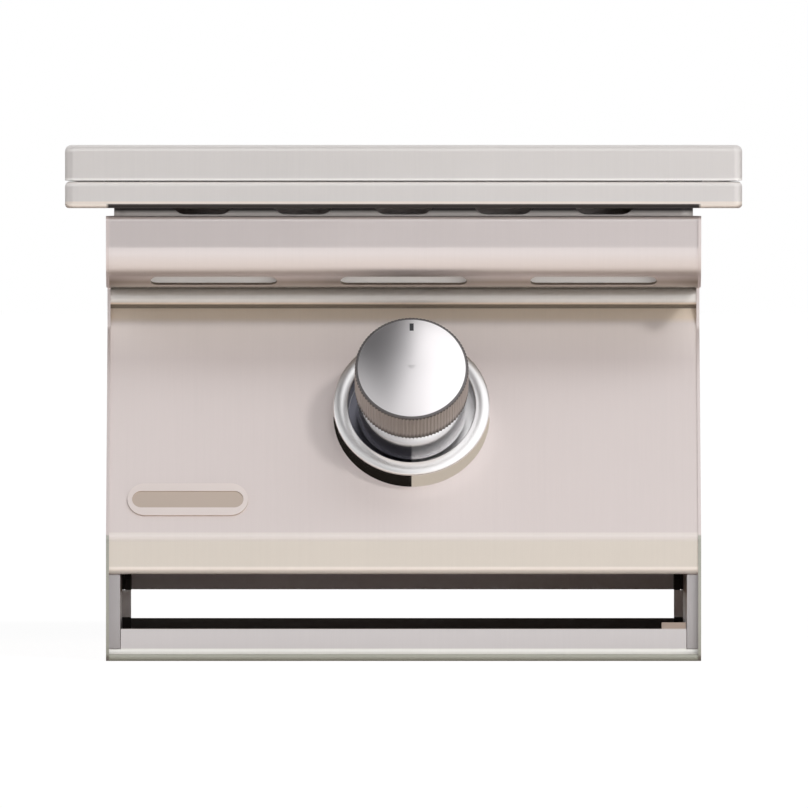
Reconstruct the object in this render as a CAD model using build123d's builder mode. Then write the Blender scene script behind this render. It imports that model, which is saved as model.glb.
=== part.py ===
"""Drop-in gas side burner for an outdoor kitchen.

Millimetres, X to the right, Y to the back, Z up. The front faces -Y. The origin is below the
middle of the whole object, on the plane that its base stands on.
"""

import os
from math import asin, cos, radians, sin, sqrt, tan

from build123d import *

os.makedirs("parts", exist_ok=True)

# ------------------------------------------------------------------ driving dimensions

TRIM_WIDTH = 336.5  # lid and drop-in trim, side to side
TRIM_DEPTH = 508.0  # drop-in trim, front to back
TRIM_OVERHANG = 20.25  # edge of the trim, out past the side walls
NECK_INSET = 3.7  # collar that passes up through the cut-out, in from the side walls
SHEET = 1.2  # trim, lid, nose, panel, collar, rails, rear wall
WALL_SHEET = 1.5  # side walls
BOWL_SHEET = 0.8  # drawn burner bowl

# Heights, stacked from the base up
RAIL_HEIGHT = 15.9
WINDOW_HEIGHT = 27.3
BAND_HEIGHT = 18.1
PANEL_RISE = 114.8
BEAD_HEIGHT = 9.6
NOSE_RADIUS = 20.0
NOSE_FACE = 15.6
COUNTER_GAP = 3.9
TRIM_LIP = 13.2
SEAM = 0.5
LID_LIP = 17.7

# Depths, from the front face of the trim
NOSE_SETBACK = 8.0
BODY_REAR_SETBACK = 26.0  # rear of the body, from the rear of the trim

# Bends of the sheet parts
PLATE_CORNER = 4.2  # upright corners of lid and trim
LID_BEND = 3.2
TRIM_BEND = 2.4
HEM_BEND = 2.0
TRIM_RETURN = 10.0
COLLAR_CORNER = 6.0
COLLAR_DEPTH = 33.4  # height of the collar below the top of the trim
NOSE_TOP_BEND = 2.5
TOP_FLANGE = 16.0  # lap of the panel under the nose
BEAD_PROUD = 5.0
BEAD_LIFT = 0.9
BEAD_CREASE = 0.5
BEAD_LOW_BEND = 3.5
BEAD_TOP_BEND = 4.4
BAND_BEND = 3.0
BAND_RETURN = 14.0
PANEL_BEND = 8.0
PANEL_FLANGE = 14.0
PANEL_FLANGE_LENGTH = 90.0
RAIL_BEND = 5.0
RAIL_RETURN = 30.0
RAIL_STEP = 4.0  # lip at the foot of the front rail, in front of its face
LIP_HEIGHT = 3.5
LIP_BEND = 1.4
STEP_BEND = 2.3
REAR_RAIL_HEIGHT = 11.0
REAR_WALL_BOTTOM = 26.0
REAR_FLANGE = 12.0
TAB_INSET = 12.1  # small tab on the front rail, in from the wall
TAB_WIDTH = 12.0
TAB_HEIGHT = 3.2
WALL_PROUD = 0.8
WALL_CORNER = 3.0
WALL_FLANGE = 15.0
POST_WIDTH = 7.0  # flange of the side wall beside the low window
REAR_POST_WIDTH = 4.7  # flange beside the gap at the back
POST_LAP = 5.0  # its upper end, in front of the rear wall

# Vents
NOSE_SLOTS = 3
NOSE_SLOT_LENGTH = 63.0
NOSE_SLOT_PITCH = 94.5
SLOT_FROM = 47.0  # degrees round the nose, from its upright face
SLOT_TO = 69.0
COLLAR_VENTS = 5
VENT_PITCH = 50.0
VENT_LENGTH = 31.0
VENT_HEIGHT = 14.0
VENT_DROP = 9.4  # centres, below the top of the trim
REAR_VENTS = 9
REAR_VENT_PITCH = 22.0
REAR_VENT_LENGTH = 40.0
REAR_VENT_WIDTH = 6.0
REAR_VENT_HEIGHT = 170.0

# Countersunk screws from the side walls into the panel's flanges
SCREW_RADIUS = 2.0
SCREW_HEAD = 3.4
SCREW_HEAD_DEPTH = 1.4
SCREW_LENGTH = 8.0
PANEL_SCREW_PITCH = 70.0
PANEL_SCREW_INSET = 8.0  # below the face of the panel

# Control panel
PANEL_TILT = 27.0  # degrees back from upright
KNOB_X = 4.0
KNOB_RISE = 59.6  # above the lower bend of the panel
BADGE_LENGTH = 60.0
BADGE_HEIGHT = 17.6
BADGE_SHEET = 1.2
BADGE_FIELD_LENGTH = 55.4
BADGE_FIELD_HEIGHT = 9.1
BADGE_RECESS = 0.6
BADGE_INSET = 39.1  # middle of the badge, in from the left wall
BADGE_DROP = 46.1  # below the knob's axis, along the panel

# Knob and bezel, heights above the panel's face
KNOB_HEIGHT = 55.0
KNOB_FOOT = 8.0
GRIP_RADIUS = 28.3
GRIP_HEIGHT = 21.8
GRIP_FLUTES = 96
FLUTE_RADIUS = 0.7
FLUTE_DEPTH = 0.5
SKIRT_RADIUS = 27.3
KNOB_EDGE = 1.2
KNOB_WALL = 3.0
KNOB_CEILING = 48.0  # top of the hollow inside
CAP_RADIUS = 26.8
CAP_SHEET = 1.5
CAP_RISE = 3.4  # middle of the cap, above its rim
HUB_RADIUS = 7.0
POINTER_WIDTH = 2.0
POINTER_LENGTH = 4.6
POINTER_REACH = 22.2
POINTER_DEPTH = 1.0
BEZEL_RADIUS = 39.0
BEZEL_INNER = 31.6
BEZEL_HEIGHT = 15.0
BEZEL_DOME = 1.0  # rise of the rim's rounded face
BEZEL_EDGE = 1.2
BEZEL_FLOOR = 2.0
BEZEL_HOLE = 7.0

# Gas valve, depths below the panel's face along the knob's axis
STEM_RADIUS = 3.0
STEM_TOP = 45.0  # above the panel's face
STEM_COLLAR_DEPTH = 4.5
STEM_COLLAR = 1.5
STEM_COLLAR_RADIUS = 5.0
BLADE = 2.4  # thickness of the stem's driving blade
BLADE_START = 15.5
BLADE_END = 23.0
BONNET_DEPTH = 20.0
BONNET_RADIUS = 10.0
BUSH_RADIUS = 5.75
BUSH_PROUD = 1.9
CHAMBER_RADIUS = 6.2
KNOB_TRAVEL = 4.0
SPRING_WIRE = 0.9
SPRING_RADIUS = 4.2
SPRING_TURNS = 5
VALVE_RADIUS = 13.0
VALVE_DEPTH = 44.0
PLUG_RADIUS = 7.0
PLUG_LENGTH = 18.0
PLUG_CHAMBER = 8.0  # height of the hollow in the foot of the plug
GALLERY_RADIUS = 4.5
GALLERY_DEPTH = 3.0
GAS_WAY = 2.0
VALVE_FLANGE_WIDTH = 46.0
VALVE_FLANGE_HEIGHT = 24.0
VALVE_FLANGE_SHEET = 3.0
VALVE_SCREW_PITCH = 34.0
VALVE_SCREW_RADIUS = 1.6
VALVE_SCREW_HEAD = 3.2
VALVE_SCREW_HEAD_HEIGHT = 1.6
VALVE_SCREW_SOCKET = 1.5
OUTLET_DEPTH = 36.0
INLET_DEPTH = 32.5
OUTLET_RADIUS = 7.0
OUTLET_REACH = 30.0
INLET_RADIUS = 8.0
INLET_REACH = 11.0

# Gas way
MANIFOLD_RADIUS = 6.35
MANIFOLD_WALL = 1.0
MANIFOLD_INSET = 36.5  # gas pipe, in from the left wall
MANIFOLD_BEND = 30.0
FLARE_RADIUS = 7.94
FLARE_LENGTH = 12.0
FLARE_CONE = 2.0
BULKHEAD_RADIUS = 8.6  # thread through the rear wall and the locknut
BULKHEAD_PROUD = 1.0
RELIEF_RADIUS = 6.9
RELIEF_LENGTH = 1.0
FITTING_HEX = 12.0
FITTING_STUB = 12.0
FITTING_BORE = 4.75
LOCKNUT_LENGTH = 5.0
HOOD_HEX = 6.2
HOOD_LENGTH = 14.0
HOOD_NOSE_RADIUS = 4.2
HOOD_NOSE_LENGTH = 6.0
HOOD_REACH = 4.0  # nose inside the mixing bell
HOOD_SPIGOT_RADIUS = 3.6
HOOD_SPIGOT_LENGTH = 6.0
HOOD_TIP = 2.0
JET_RADIUS = 0.6

# Mixing tube and air shutter
TUBE_RADIUS = 12.7
TUBE_BEND = 45.0
BELL_RADIUS = 16.0
BELL_LENGTH = 30.0
BELL_CONE = 8.0
BELL_WALL = 1.6
BELL_WINDOW = 18.0
BELL_WINDOW_HEIGHT = 12.0
SHUTTER_SHEET = 1.2
SHUTTER_LENGTH = 26.0
SHUTTER_INSET = 2.0  # behind the front of the bell
SHUTTER_BOSS = 3.0
SHUTTER_SCREW_RADIUS = 1.5
SHUTTER_HEAD = 2.0

# Burner bowl, burner and grate
BOWL_WIDTH = 236.0
BOWL_LENGTH = 340.0
BOWL_DEPTH = 46.0
BOWL_CORNER = 24.0
BOWL_BEND = 10.0
BOWL_RIM = 9.0
BURNER_RADIUS = 46.0
BURNER_HUB = 16.0
HUB_DROP = 18.0  # below the floor of the bowl
HUB_SHOULDER = 4.0  # stops the mixing tube, below the floor of the bowl
BASE_HEIGHT = 12.0
BASE_FLOOR = 4.0
RING_HEIGHT = 9.0
RING_WALL = 8.0
RING_PORTS = 36
PORT_RADIUS = 1.2
PORT_LIFT = 4.0
CAP_HEIGHT = 5.0
CAP_SPIGOT = 3.0
CAP_INSET = 2.0
NUT_RADIUS = 24.0
NUT_HEIGHT = 6.0
GRATE_BAR = 8.0
GRATE_MARGIN = 4.0  # grate frame, in from the edge of the bowl's rim
GRATE_BARS = 9
GRATE_CHAMFER = 1.6

# Igniter
ELECTRODE_X = 62.0
INSULATOR_RADIUS = 3.0
INSULATOR_COLLAR = 4.5
INSULATOR_COLLAR_HEIGHT = 3.0
INSULATOR_BELOW = 14.0
INSULATOR_ABOVE = 12.0
BRACKET_WIDTH = 14.0
BRACKET_LENGTH = 24.0
BRACKET_SHEET = 1.5
ROD_RADIUS = 0.8
ROD_BEND = 2.0
ROD_DROP = 4.0
ROD_RISE = 5.0
SPARK_GAP = 3.5
LEAD_RADIUS = 1.3
LEAD_BEND = 10.0
LEAD_RUN = 20.0
IGNITER_START = 12.0
IGNITER_WIDTH = 16.0
IGNITER_HEIGHT = 20.0
IGNITER_LENGTH = 28.0
IGNITER_EDGE = 2.0

# Hinges
HINGE_X = 95.0
HINGE_LENGTH = 50.0
HINGE_SETBACK = 14.0  # axis, in front of the rear edge of the trim
KNUCKLE_RADIUS = 3.4
LID_KNUCKLE = 20.0
PIN_RADIUS = 1.6
PIN_HEAD = 2.4
PIN_HEAD_LENGTH = 1.0
LEAF = 1.2
LEAF_RISE = 12.0
LEAF_REACH = 10.0
LID_GAP = 8.0  # rear of the lid, in front of the hinge axis
RIVET_RADIUS = 1.6
RIVET_HEAD = 2.4
RIVET_HEAD_HEIGHT = 1.4
RIVET_PITCH = 34.0
FIXED_RIVET_SETBACK = 7.0  # behind the hinge axis
LID_RIVET_RISE = 8.0  # above the hinge axis

# Inside of the lid
LINER_DROP = 4.0
LINER_MARGIN = 12.0
LINER_SHEET = 0.8
LINER_CORNER = 24.0
BUMPER_RADIUS = 6.0
BUMPER_INSET = 12.0
BUMPER_EDGE = 1.0

# Heat shield
SHIELD_HEIGHT = 165.0  # its upper face
SHIELD_SETBACK = 4.0  # behind the lap of the panel
SHIELD_DEPTH = 114.0
SHIELD_FLANGE = 12.0

# Clearances
RUNNING = 0.05  # round the pins, plug, stem and shutter
FIT = 0.3  # between sheets that slip together
HOLE_FIT = 0.15  # round screws and rivets

# ------------------------------------------------------------------ places

BODY_WIDTH = TRIM_WIDTH - 2 * TRIM_OVERHANG
NECK_WIDTH = BODY_WIDTH - 2 * NECK_INSET
WINDOW_TOP = RAIL_HEIGHT + WINDOW_HEIGHT
PANEL_BOTTOM = WINDOW_TOP + BAND_HEIGHT
PANEL_TOP = PANEL_BOTTOM + PANEL_RISE
NOSE_BOTTOM = PANEL_TOP + BEAD_HEIGHT
NOSE_TOP = NOSE_BOTTOM + NOSE_RADIUS + NOSE_FACE
TRIM_BOTTOM = NOSE_TOP + COUNTER_GAP
TRIM_TOP = TRIM_BOTTOM + TRIM_LIP
LID_BOTTOM = TRIM_TOP + SEAM
LID_TOP = LID_BOTTOM + LID_LIP

TILT = radians(PANEL_TILT)
LEAN = tan(TILT)

# The front-most point is the rounded edge of the knob, which stands out past the trim
KNOB_PROUD = (
    (KNOB_HEIGHT - KNOB_EDGE) * cos(TILT)
    + (GRIP_RADIUS - KNOB_EDGE) * sin(TILT)
    + KNOB_EDGE
    - NOSE_SETBACK
    - KNOB_RISE * LEAN
)
FRONT = KNOB_PROUD - (KNOB_PROUD + TRIM_DEPTH) / 2
REAR = FRONT + TRIM_DEPTH
CENTRE = (FRONT + REAR) / 2  # middle of the trim, front to back

FACE = FRONT + NOSE_SETBACK  # front of the nose and of the panel's lower band
PANEL_HEAD = FACE + PANEL_RISE * LEAN
BEAD_FRONT = PANEL_HEAD - BEAD_PROUD
NOSE_BACK = PANEL_HEAD + TOP_FLANGE
COLLAR_FRONT = FACE + NOSE_RADIUS
BODY_REAR = REAR - BODY_REAR_SETBACK
COLLAR_REAR = BODY_REAR - SHEET
WALL_FRONT = FACE - WALL_PROUD
RAIL_FACE = FACE + RAIL_STEP
RAIL_FOOT = LIP_HEIGHT + STEP_BEND + FIT  # lower end of the posts, clear of the step in the rail
WALL_INSIDE = BODY_WIDTH / 2 - WALL_SHEET  # half width of what is welded between the walls
MANIFOLD_X = MANIFOLD_INSET - WALL_INSIDE
LID_REAR = REAR - HINGE_SETBACK - LID_GAP
LID_MIDDLE = (FRONT + LID_REAR) / 2
COLLAR_BOTTOM = TRIM_TOP - COLLAR_DEPTH
COLLAR_MIDDLE = (COLLAR_FRONT + COLLAR_REAR) / 2
COLLAR_LENGTH = COLLAR_REAR - COLLAR_FRONT
SHIELD_FRONT = NOSE_BACK + SHIELD_SETBACK
SHIELD_BACK = SHIELD_FRONT + SHIELD_DEPTH

KNOB_Y = FACE + KNOB_RISE * LEAN
KNOB_Z = PANEL_BOTTOM + KNOB_RISE
OUTWARD = (0, -cos(TILT), sin(TILT))  # out of the face of the panel
PANEL_PLANE = Plane(origin=(0, KNOB_Y, KNOB_Z), x_dir=(1, 0, 0), z_dir=OUTWARD)
KNOB_PLANE = Plane(origin=(KNOB_X, KNOB_Y, KNOB_Z), x_dir=(1, 0, 0), z_dir=OUTWARD)
KNOB_AXIS = Axis((KNOB_X, KNOB_Y, KNOB_Z), OUTWARD)


def axis_point(depth):
    """Y and Z of the point on the knob's axis, so deep below the face of the panel."""
    return KNOB_Y + depth * cos(TILT), KNOB_Z - depth * sin(TILT)


OUTLET_Y, OUTLET_Z = axis_point(OUTLET_DEPTH)
INLET_Y, INLET_Z = axis_point(INLET_DEPTH)
OUTLET_END = OUTLET_Y + OUTLET_REACH
INLET_END = KNOB_X - VALVE_RADIUS - INLET_REACH
HOOD_END = OUTLET_END + HOOD_LENGTH
PLUG_TOP = BONNET_DEPTH + RUNNING
PLUG_FOOT = PLUG_TOP + PLUG_LENGTH
PLUG_SEAT = PLUG_FOOT + RUNNING
BELL_FRONT = HOOD_END - HOOD_REACH
BELL_REAR = BELL_FRONT + BELL_LENGTH
BELL_WINDOW_START = BELL_FRONT + (BELL_LENGTH - BELL_WINDOW) / 2
SHUTTER_FRONT = BELL_FRONT + SHUTTER_INSET
SHUTTER_BOSS_Y = SHUTTER_FRONT + SHUTTER_LENGTH - SHUTTER_BOSS
BULKHEAD_END = FITTING_STUB + SHEET + LOCKNUT_LENGTH + BULKHEAD_PROUD  # from its inner end
FLARE_START = BULKHEAD_END + RELIEF_LENGTH
FLARE_END = FLARE_START + FLARE_LENGTH

BOWL_FLOOR = TRIM_TOP - BOWL_DEPTH + BOWL_SHEET  # upper face of the floor
TUBE_TOP = BOWL_FLOOR - HUB_SHOULDER
BASE_TOP = BOWL_FLOOR + BASE_HEIGHT
RING_TOP = BASE_TOP + RING_HEIGHT
RIM_TOP = TRIM_TOP + BOWL_SHEET
GRATE_WIDTH = BOWL_WIDTH + 2 * (BOWL_RIM - GRATE_MARGIN)
GRATE_LENGTH = BOWL_LENGTH + 2 * (BOWL_RIM - GRATE_MARGIN)
GRATE_PITCH = (GRATE_LENGTH - GRATE_BAR) / (GRATE_BARS + 1)

ROD_FOOT = BOWL_FLOOR + BRACKET_SHEET - INSULATOR_BELOW - ROD_DROP
ROD_HEAD = BOWL_FLOOR + BRACKET_SHEET + INSULATOR_ABOVE + ROD_RISE
ROD_TIP = BURNER_RADIUS + SPARK_GAP
IGNITER_X = VALVE_RADIUS + IGNITER_WIDTH / 2  # beside the knob's axis

HINGE_Y = REAR - HINGE_SETBACK
HINGE_Z = TRIM_TOP + KNUCKLE_RADIUS + FIT
FIXED_KNUCKLE = (HINGE_LENGTH - LID_KNUCKLE) / 2 - FIT
FIXED_RIVET_Y = HINGE_Y + FIXED_RIVET_SETBACK
LID_RIVET_Z = HINGE_Z + LID_RIVET_RISE
RIVET_COLUMNS = [side * HINGE_X + end * RIVET_PITCH / 2 for side in (-1, 1) for end in (-1, 1)]
LINER_Z = LID_TOP - SHEET - LINER_DROP  # lower face of the liner
LINER_WIDTH = TRIM_WIDTH - 2 * (SHEET + LINER_MARGIN)
LINER_LENGTH = LID_REAR - FRONT - 2 * (SHEET + LINER_MARGIN)


# ------------------------------------------------------------------ shapes used more than once


def sheet_section(points, bends, thickness, side):
    """Section of a bent sheet, from the line of one face and the radius at each bend."""
    with BuildLine() as outline:
        FilletPolyline(*points, radius=bends)
        offset(amount=thickness, side=side)
    make_face(outline.edges())


def rounded_block(width, length, low, high, corner, middle, mode=Mode.ADD):
    """Upright block with rounded upright corners, centred on x = 0 and y = middle."""
    with BuildSketch(Plane.XY.offset(low)) as profile:
        with Locations((0, middle)):
            RectangleRounded(width, length, corner)
    extrude(profile.sketch, amount=high - low, mode=mode)


def block(x_range, y_range, z_range, mode=Mode.ADD):
    """Box between two limits along each axis."""
    low = [min(limits) for limits in (x_range, y_range, z_range)]
    size = [max(limits) - min(limits) for limits in (x_range, y_range, z_range)]
    with Locations(tuple(low)):
        Box(*size, align=(Align.MIN, Align.MIN, Align.MIN), mode=mode)


def rod(plane, radius, length, mode=Mode.ADD):
    """Cylinder that starts on a plane and runs along its normal."""
    with BuildSketch(plane) as profile:
        Circle(radius)
    extrude(profile.sketch, amount=length, mode=mode)


def half_section(place):
    """Plane of (radius, height) about a place's normal."""
    return Plane(origin=place.origin, x_dir=place.x_dir, z_dir=-place.y_dir)


def turned(place, points, mode=Mode.ADD):
    """Solid turned about a place's normal, from the (radius, height) corners of its section."""
    with BuildSketch(half_section(place)) as profile:
        with BuildLine():
            Polyline(*points, close=True)
        make_face()
    revolve(profile.sketch, axis=Axis(place.origin, place.z_dir), mode=mode)


def screw(place, head_radius, head_height, shank_radius, shank_length, socket=0):
    """Domed screw or rivet: its head stands on a place and its shank runs the other way."""
    dome = 0.6 * head_height
    sphere = (head_radius**2 + dome**2) / (2 * dome)
    midway = head_height - sphere + sqrt(sphere**2 - head_radius**2 / 4)
    with BuildSketch(half_section(place)) as profile:
        with BuildLine():
            Polyline(
                (0, head_height),
                (0, -shank_length),
                (shank_radius, -shank_length),
                (shank_radius, 0),
                (head_radius, 0),
                (head_radius, head_height - dome),
            )
            ThreePointArc(
                (head_radius, head_height - dome), (head_radius / 2, midway), (0, head_height)
            )
        make_face()
    revolve(profile.sketch, axis=Axis(place.origin, place.z_dir))
    if socket:
        with BuildSketch(place.offset(head_height)) as recess:
            RegularPolygon(socket, 6)
        extrude(recess.sketch, amount=-0.6 * head_height, mode=Mode.SUBTRACT)


def flush_screw(place, gap=0, mode=Mode.ADD):
    """Countersunk screw whose flat head lies in a place, or the hole for it with a gap round it."""
    turned(
        place,
        [
            (0, 0),
            (SCREW_HEAD + gap, 0),
            (SCREW_RADIUS + gap, -SCREW_HEAD_DEPTH),
            (SCREW_RADIUS + gap, -SCREW_LENGTH),
            (0, -SCREW_LENGTH),
        ],
        mode,
    )


def upright(x, y, z):
    """Place with its normal up."""
    return Plane(origin=(x, y, z), x_dir=(1, 0, 0), z_dir=(0, 0, 1))


def backward(x, y, z):
    """Place with its normal to the back."""
    return Plane(origin=(x, y, z), x_dir=(1, 0, 0), z_dir=(0, 1, 0))


def sideways(x, y, z, side=1):
    """Place with its normal to the right, or to the left."""
    return Plane(origin=(x, y, z), x_dir=(0, 1, 0), z_dir=(side, 0, 0))


def plate_block(inset, rear, low, high, bend, hem=0):
    """Solid with the outside shape of a bent plate, or its inside shape when inset by the sheet."""
    width = TRIM_WIDTH - 2 * inset
    length = rear - FRONT - 2 * inset
    with BuildPart() as solid:
        rounded_block(width, length, low, high, PLATE_CORNER - inset, (FRONT + rear) / 2)
        fillet(faces().sort_by(Axis.Z)[-1].edges(), bend - inset)
        if hem:
            fillet(faces().sort_by(Axis.Z)[0].edges(), hem)
    return solid.part


def bowl_block(gap):
    """Solid inside or outside shape of the burner bowl, larger all round by a gap."""
    with BuildPart() as solid:
        rounded_block(
            BOWL_WIDTH + 2 * gap,
            BOWL_LENGTH + 2 * gap,
            BOWL_FLOOR - gap,
            RIM_TOP,
            BOWL_CORNER + gap,
            CENTRE,
        )
        fillet(faces().sort_by(Axis.Z)[0].edges(), BOWL_BEND + gap)
    return solid.part


def save(builder, name):
    """Label a finished piece and write its STEP file."""
    builder.part.label = name
    export_step(builder.part, f"parts/{name}.step")


# ------------------------------------------------------------------ side walls and rails


def panel_screw_places(side):
    """Places on the outside of one wall, at the screws into the panel's flange."""
    spots = [
        PANEL_PLANE.from_local_coords((0, along, -PANEL_SCREW_INSET))
        for along in (-PANEL_SCREW_PITCH / 2, PANEL_SCREW_PITCH / 2)
    ]
    return [sideways(side * BODY_WIDTH / 2, spot.Y, spot.Z, side) for spot in spots]


def side_wall(side):
    """One side wall: a plate cut to the outline of nose and panel, with its flanges."""
    outer = side * BODY_WIDTH / 2
    inner = side * WALL_INSIDE
    outline = [
        (BODY_REAR, 0),
        (WALL_FRONT, 0),
        (WALL_FRONT, PANEL_BOTTOM),
        (BEAD_FRONT - WALL_PROUD, PANEL_TOP - BEAD_PROUD / LEAN),
        (BEAD_FRONT - WALL_PROUD, NOSE_BOTTOM),
        (WALL_FRONT, NOSE_BOTTOM),
        (WALL_FRONT, NOSE_TOP),
        (BODY_REAR, NOSE_TOP),
    ]
    with BuildPart() as wall:
        with BuildSketch(Plane.YZ.offset(min(inner, outer))):
            with BuildLine():
                FilletPolyline(
                    *outline,
                    radius=[WALL_CORNER, PANEL_BEND, PANEL_BEND, 1, NOSE_RADIUS, NOSE_TOP_BEND],
                )
                Line((BODY_REAR, NOSE_TOP), (BODY_REAR, 0))
            make_face()
        extrude(amount=WALL_SHEET)
        block(
            (outer, side * NECK_WIDTH / 2),
            (COLLAR_FRONT + COLLAR_CORNER, COLLAR_REAR - FIT),
            (NOSE_TOP - WALL_SHEET, NOSE_TOP),
        )
        block(
            (outer, outer - side * WALL_FLANGE),
            (FACE + RAIL_RETURN + FIT, BODY_REAR - RAIL_RETURN - FIT),
            (0, WALL_SHEET),
        )
        block(
            (outer - side * WALL_SHEET / 2, outer - side * POST_WIDTH),
            (RAIL_FACE, RAIL_FACE + WALL_SHEET),
            (RAIL_FOOT, WINDOW_TOP - FIT),
        )
        block(
            (outer - side * WALL_SHEET / 2, outer - side * (WALL_SHEET + REAR_POST_WIDTH)),
            (COLLAR_REAR - FIT - WALL_SHEET, COLLAR_REAR - FIT),
            (RAIL_BEND + FIT, REAR_WALL_BOTTOM - FIT),
        )
        block(
            (inner - side * (SHEET + FIT), inner - side * REAR_POST_WIDTH),
            (COLLAR_REAR - FIT - WALL_SHEET, COLLAR_REAR - FIT),
            (REAR_RAIL_HEIGHT, REAR_WALL_BOTTOM + POST_LAP),
        )
        for place in panel_screw_places(side):
            flush_screw(place, HOLE_FIT, Mode.SUBTRACT)
    return wall


side_wall_left = side_wall(-1)
save(side_wall_left, "side_wall_left")
side_wall_right = side_wall(1)
save(side_wall_right, "side_wall_right")

with BuildPart() as front_rail:
    with BuildSketch(Plane.YZ):
        sheet_section(
            [
                (RAIL_FACE, RAIL_HEIGHT),
                (RAIL_FACE, LIP_HEIGHT),
                (FACE, LIP_HEIGHT),
                (FACE, 0),
                (FACE + RAIL_RETURN, 0),
            ],
            [STEP_BEND, LIP_BEND, LIP_BEND],
            SHEET,
            Side.LEFT,
        )
    extrude(amount=WALL_INSIDE, both=True)
    for side in (-1, 1):
        block(
            (side * (BODY_WIDTH / 2 - POST_WIDTH - FIT), side * BODY_WIDTH / 2),
            (FACE, RAIL_FACE + SHEET),
            (RAIL_FOOT - FIT, RAIL_HEIGHT),
            mode=Mode.SUBTRACT,
        )
    block(
        (WALL_INSIDE - TAB_INSET - TAB_WIDTH / 2, WALL_INSIDE - TAB_INSET + TAB_WIDTH / 2),
        (RAIL_FACE, RAIL_FACE + SHEET),
        (RAIL_HEIGHT, RAIL_HEIGHT + TAB_HEIGHT),
    )
save(front_rail, "front_rail")

with BuildPart() as rear_rail:
    with BuildSketch(Plane.YZ):
        sheet_section(
            [(BODY_REAR, REAR_RAIL_HEIGHT), (BODY_REAR, 0), (BODY_REAR - RAIL_RETURN, 0)],
            [RAIL_BEND],
            SHEET,
            Side.RIGHT,
        )
    extrude(amount=WALL_INSIDE, both=True)
save(rear_rail, "rear_rail")

with BuildPart() as rear_wall:
    block((-WALL_INSIDE, WALL_INSIDE), (COLLAR_REAR, BODY_REAR), (REAR_WALL_BOTTOM, NOSE_TOP))
    for side in (-1, 1):
        block(
            (side * (WALL_INSIDE - SHEET), side * WALL_INSIDE),
            (BODY_REAR - REAR_FLANGE, BODY_REAR),
            (REAR_WALL_BOTTOM, COLLAR_BOTTOM - FIT),
        )
    with BuildSketch(backward(0, COLLAR_REAR, REAR_VENT_HEIGHT)):
        with GridLocations(REAR_VENT_PITCH, 0, REAR_VENTS, 1):
            SlotOverall(REAR_VENT_LENGTH, REAR_VENT_WIDTH, rotation=90)
    extrude(amount=SHEET, mode=Mode.SUBTRACT)
    rod(backward(MANIFOLD_X, COLLAR_REAR, INLET_Z), BULKHEAD_RADIUS + FIT, SHEET, mode=Mode.SUBTRACT)
save(rear_wall, "rear_wall")

# ------------------------------------------------------------------ collar, trim, nose and panel

with BuildPart() as neck_collar:
    rounded_block(
        NECK_WIDTH, COLLAR_LENGTH, COLLAR_BOTTOM, TRIM_TOP - SHEET, COLLAR_CORNER, COLLAR_MIDDLE
    )
    rounded_block(
        NECK_WIDTH - 2 * SHEET,
        COLLAR_LENGTH - 2 * SHEET,
        COLLAR_BOTTOM,
        TRIM_TOP - SHEET,
        COLLAR_CORNER - SHEET,
        COLLAR_MIDDLE,
        mode=Mode.SUBTRACT,
    )
    block(
        (COLLAR_CORNER - NECK_WIDTH / 2, NECK_WIDTH / 2 - COLLAR_CORNER),
        (COLLAR_FRONT, COLLAR_FRONT + SHEET),
        (NOSE_BOTTOM + SHEET, COLLAR_BOTTOM),
    )
    with BuildSketch(backward(0, COLLAR_FRONT, TRIM_TOP - VENT_DROP)):
        with GridLocations(VENT_PITCH, 0, COLLAR_VENTS, 1):
            SlotOverall(VENT_LENGTH, VENT_HEIGHT)
    extrude(amount=SHEET, mode=Mode.SUBTRACT)
save(neck_collar, "neck_collar")


trim_outside = plate_block(0, REAR, TRIM_BOTTOM, TRIM_TOP, TRIM_BEND, HEM_BEND)
trim_inside = plate_block(
    SHEET, REAR, TRIM_BOTTOM + SHEET, TRIM_TOP - SHEET, TRIM_BEND, HEM_BEND - SHEET
)

with BuildPart() as top_trim:
    add(trim_outside)
    add(trim_inside, mode=Mode.SUBTRACT)
    rounded_block(
        TRIM_WIDTH - 2 * TRIM_RETURN,
        TRIM_DEPTH - 2 * TRIM_RETURN,
        TRIM_BOTTOM,
        TRIM_BOTTOM + SHEET,
        PLATE_CORNER,
        CENTRE,
        mode=Mode.SUBTRACT,
    )
    rounded_block(
        BOWL_WIDTH + 2 * (BOWL_SHEET + FIT),
        BOWL_LENGTH + 2 * (BOWL_SHEET + FIT),
        TRIM_TOP - SHEET,
        TRIM_TOP,
        BOWL_CORNER + BOWL_SHEET + FIT,
        CENTRE,
        mode=Mode.SUBTRACT,
    )
    for x in RIVET_COLUMNS:
        place = upright(x, FIXED_RIVET_Y, TRIM_TOP)
        rod(place, RIVET_RADIUS + HOLE_FIT, -SHEET, mode=Mode.SUBTRACT)
save(top_trim, "top_trim")

with BuildPart() as bullnose:
    with BuildSketch(Plane.YZ):
        sheet_section(
            [
                (COLLAR_FRONT, NOSE_TOP),
                (FACE, NOSE_TOP),
                (FACE, NOSE_BOTTOM),
                (NOSE_BACK, NOSE_BOTTOM),
            ],
            [NOSE_TOP_BEND, NOSE_RADIUS],
            SHEET,
            Side.LEFT,
        )
    extrude(amount=WALL_INSIDE, both=True)
    slot_angle = radians((SLOT_FROM + SLOT_TO) / 2)
    slot_width = radians(SLOT_TO - SLOT_FROM) * NOSE_RADIUS
    slot_plane = Plane(
        origin=(
            0,
            COLLAR_FRONT - NOSE_RADIUS * cos(slot_angle),
            NOSE_BOTTOM + NOSE_RADIUS * (1 - sin(slot_angle)),
        ),
        x_dir=(1, 0, 0),
        z_dir=(0, -cos(slot_angle), -sin(slot_angle)),
    )
    with BuildSketch(slot_plane.offset(SHEET)):
        with GridLocations(NOSE_SLOT_PITCH, 0, NOSE_SLOTS, 1):
            SlotOverall(NOSE_SLOT_LENGTH, slot_width)
    extrude(amount=-3 * SHEET, mode=Mode.SUBTRACT)
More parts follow.
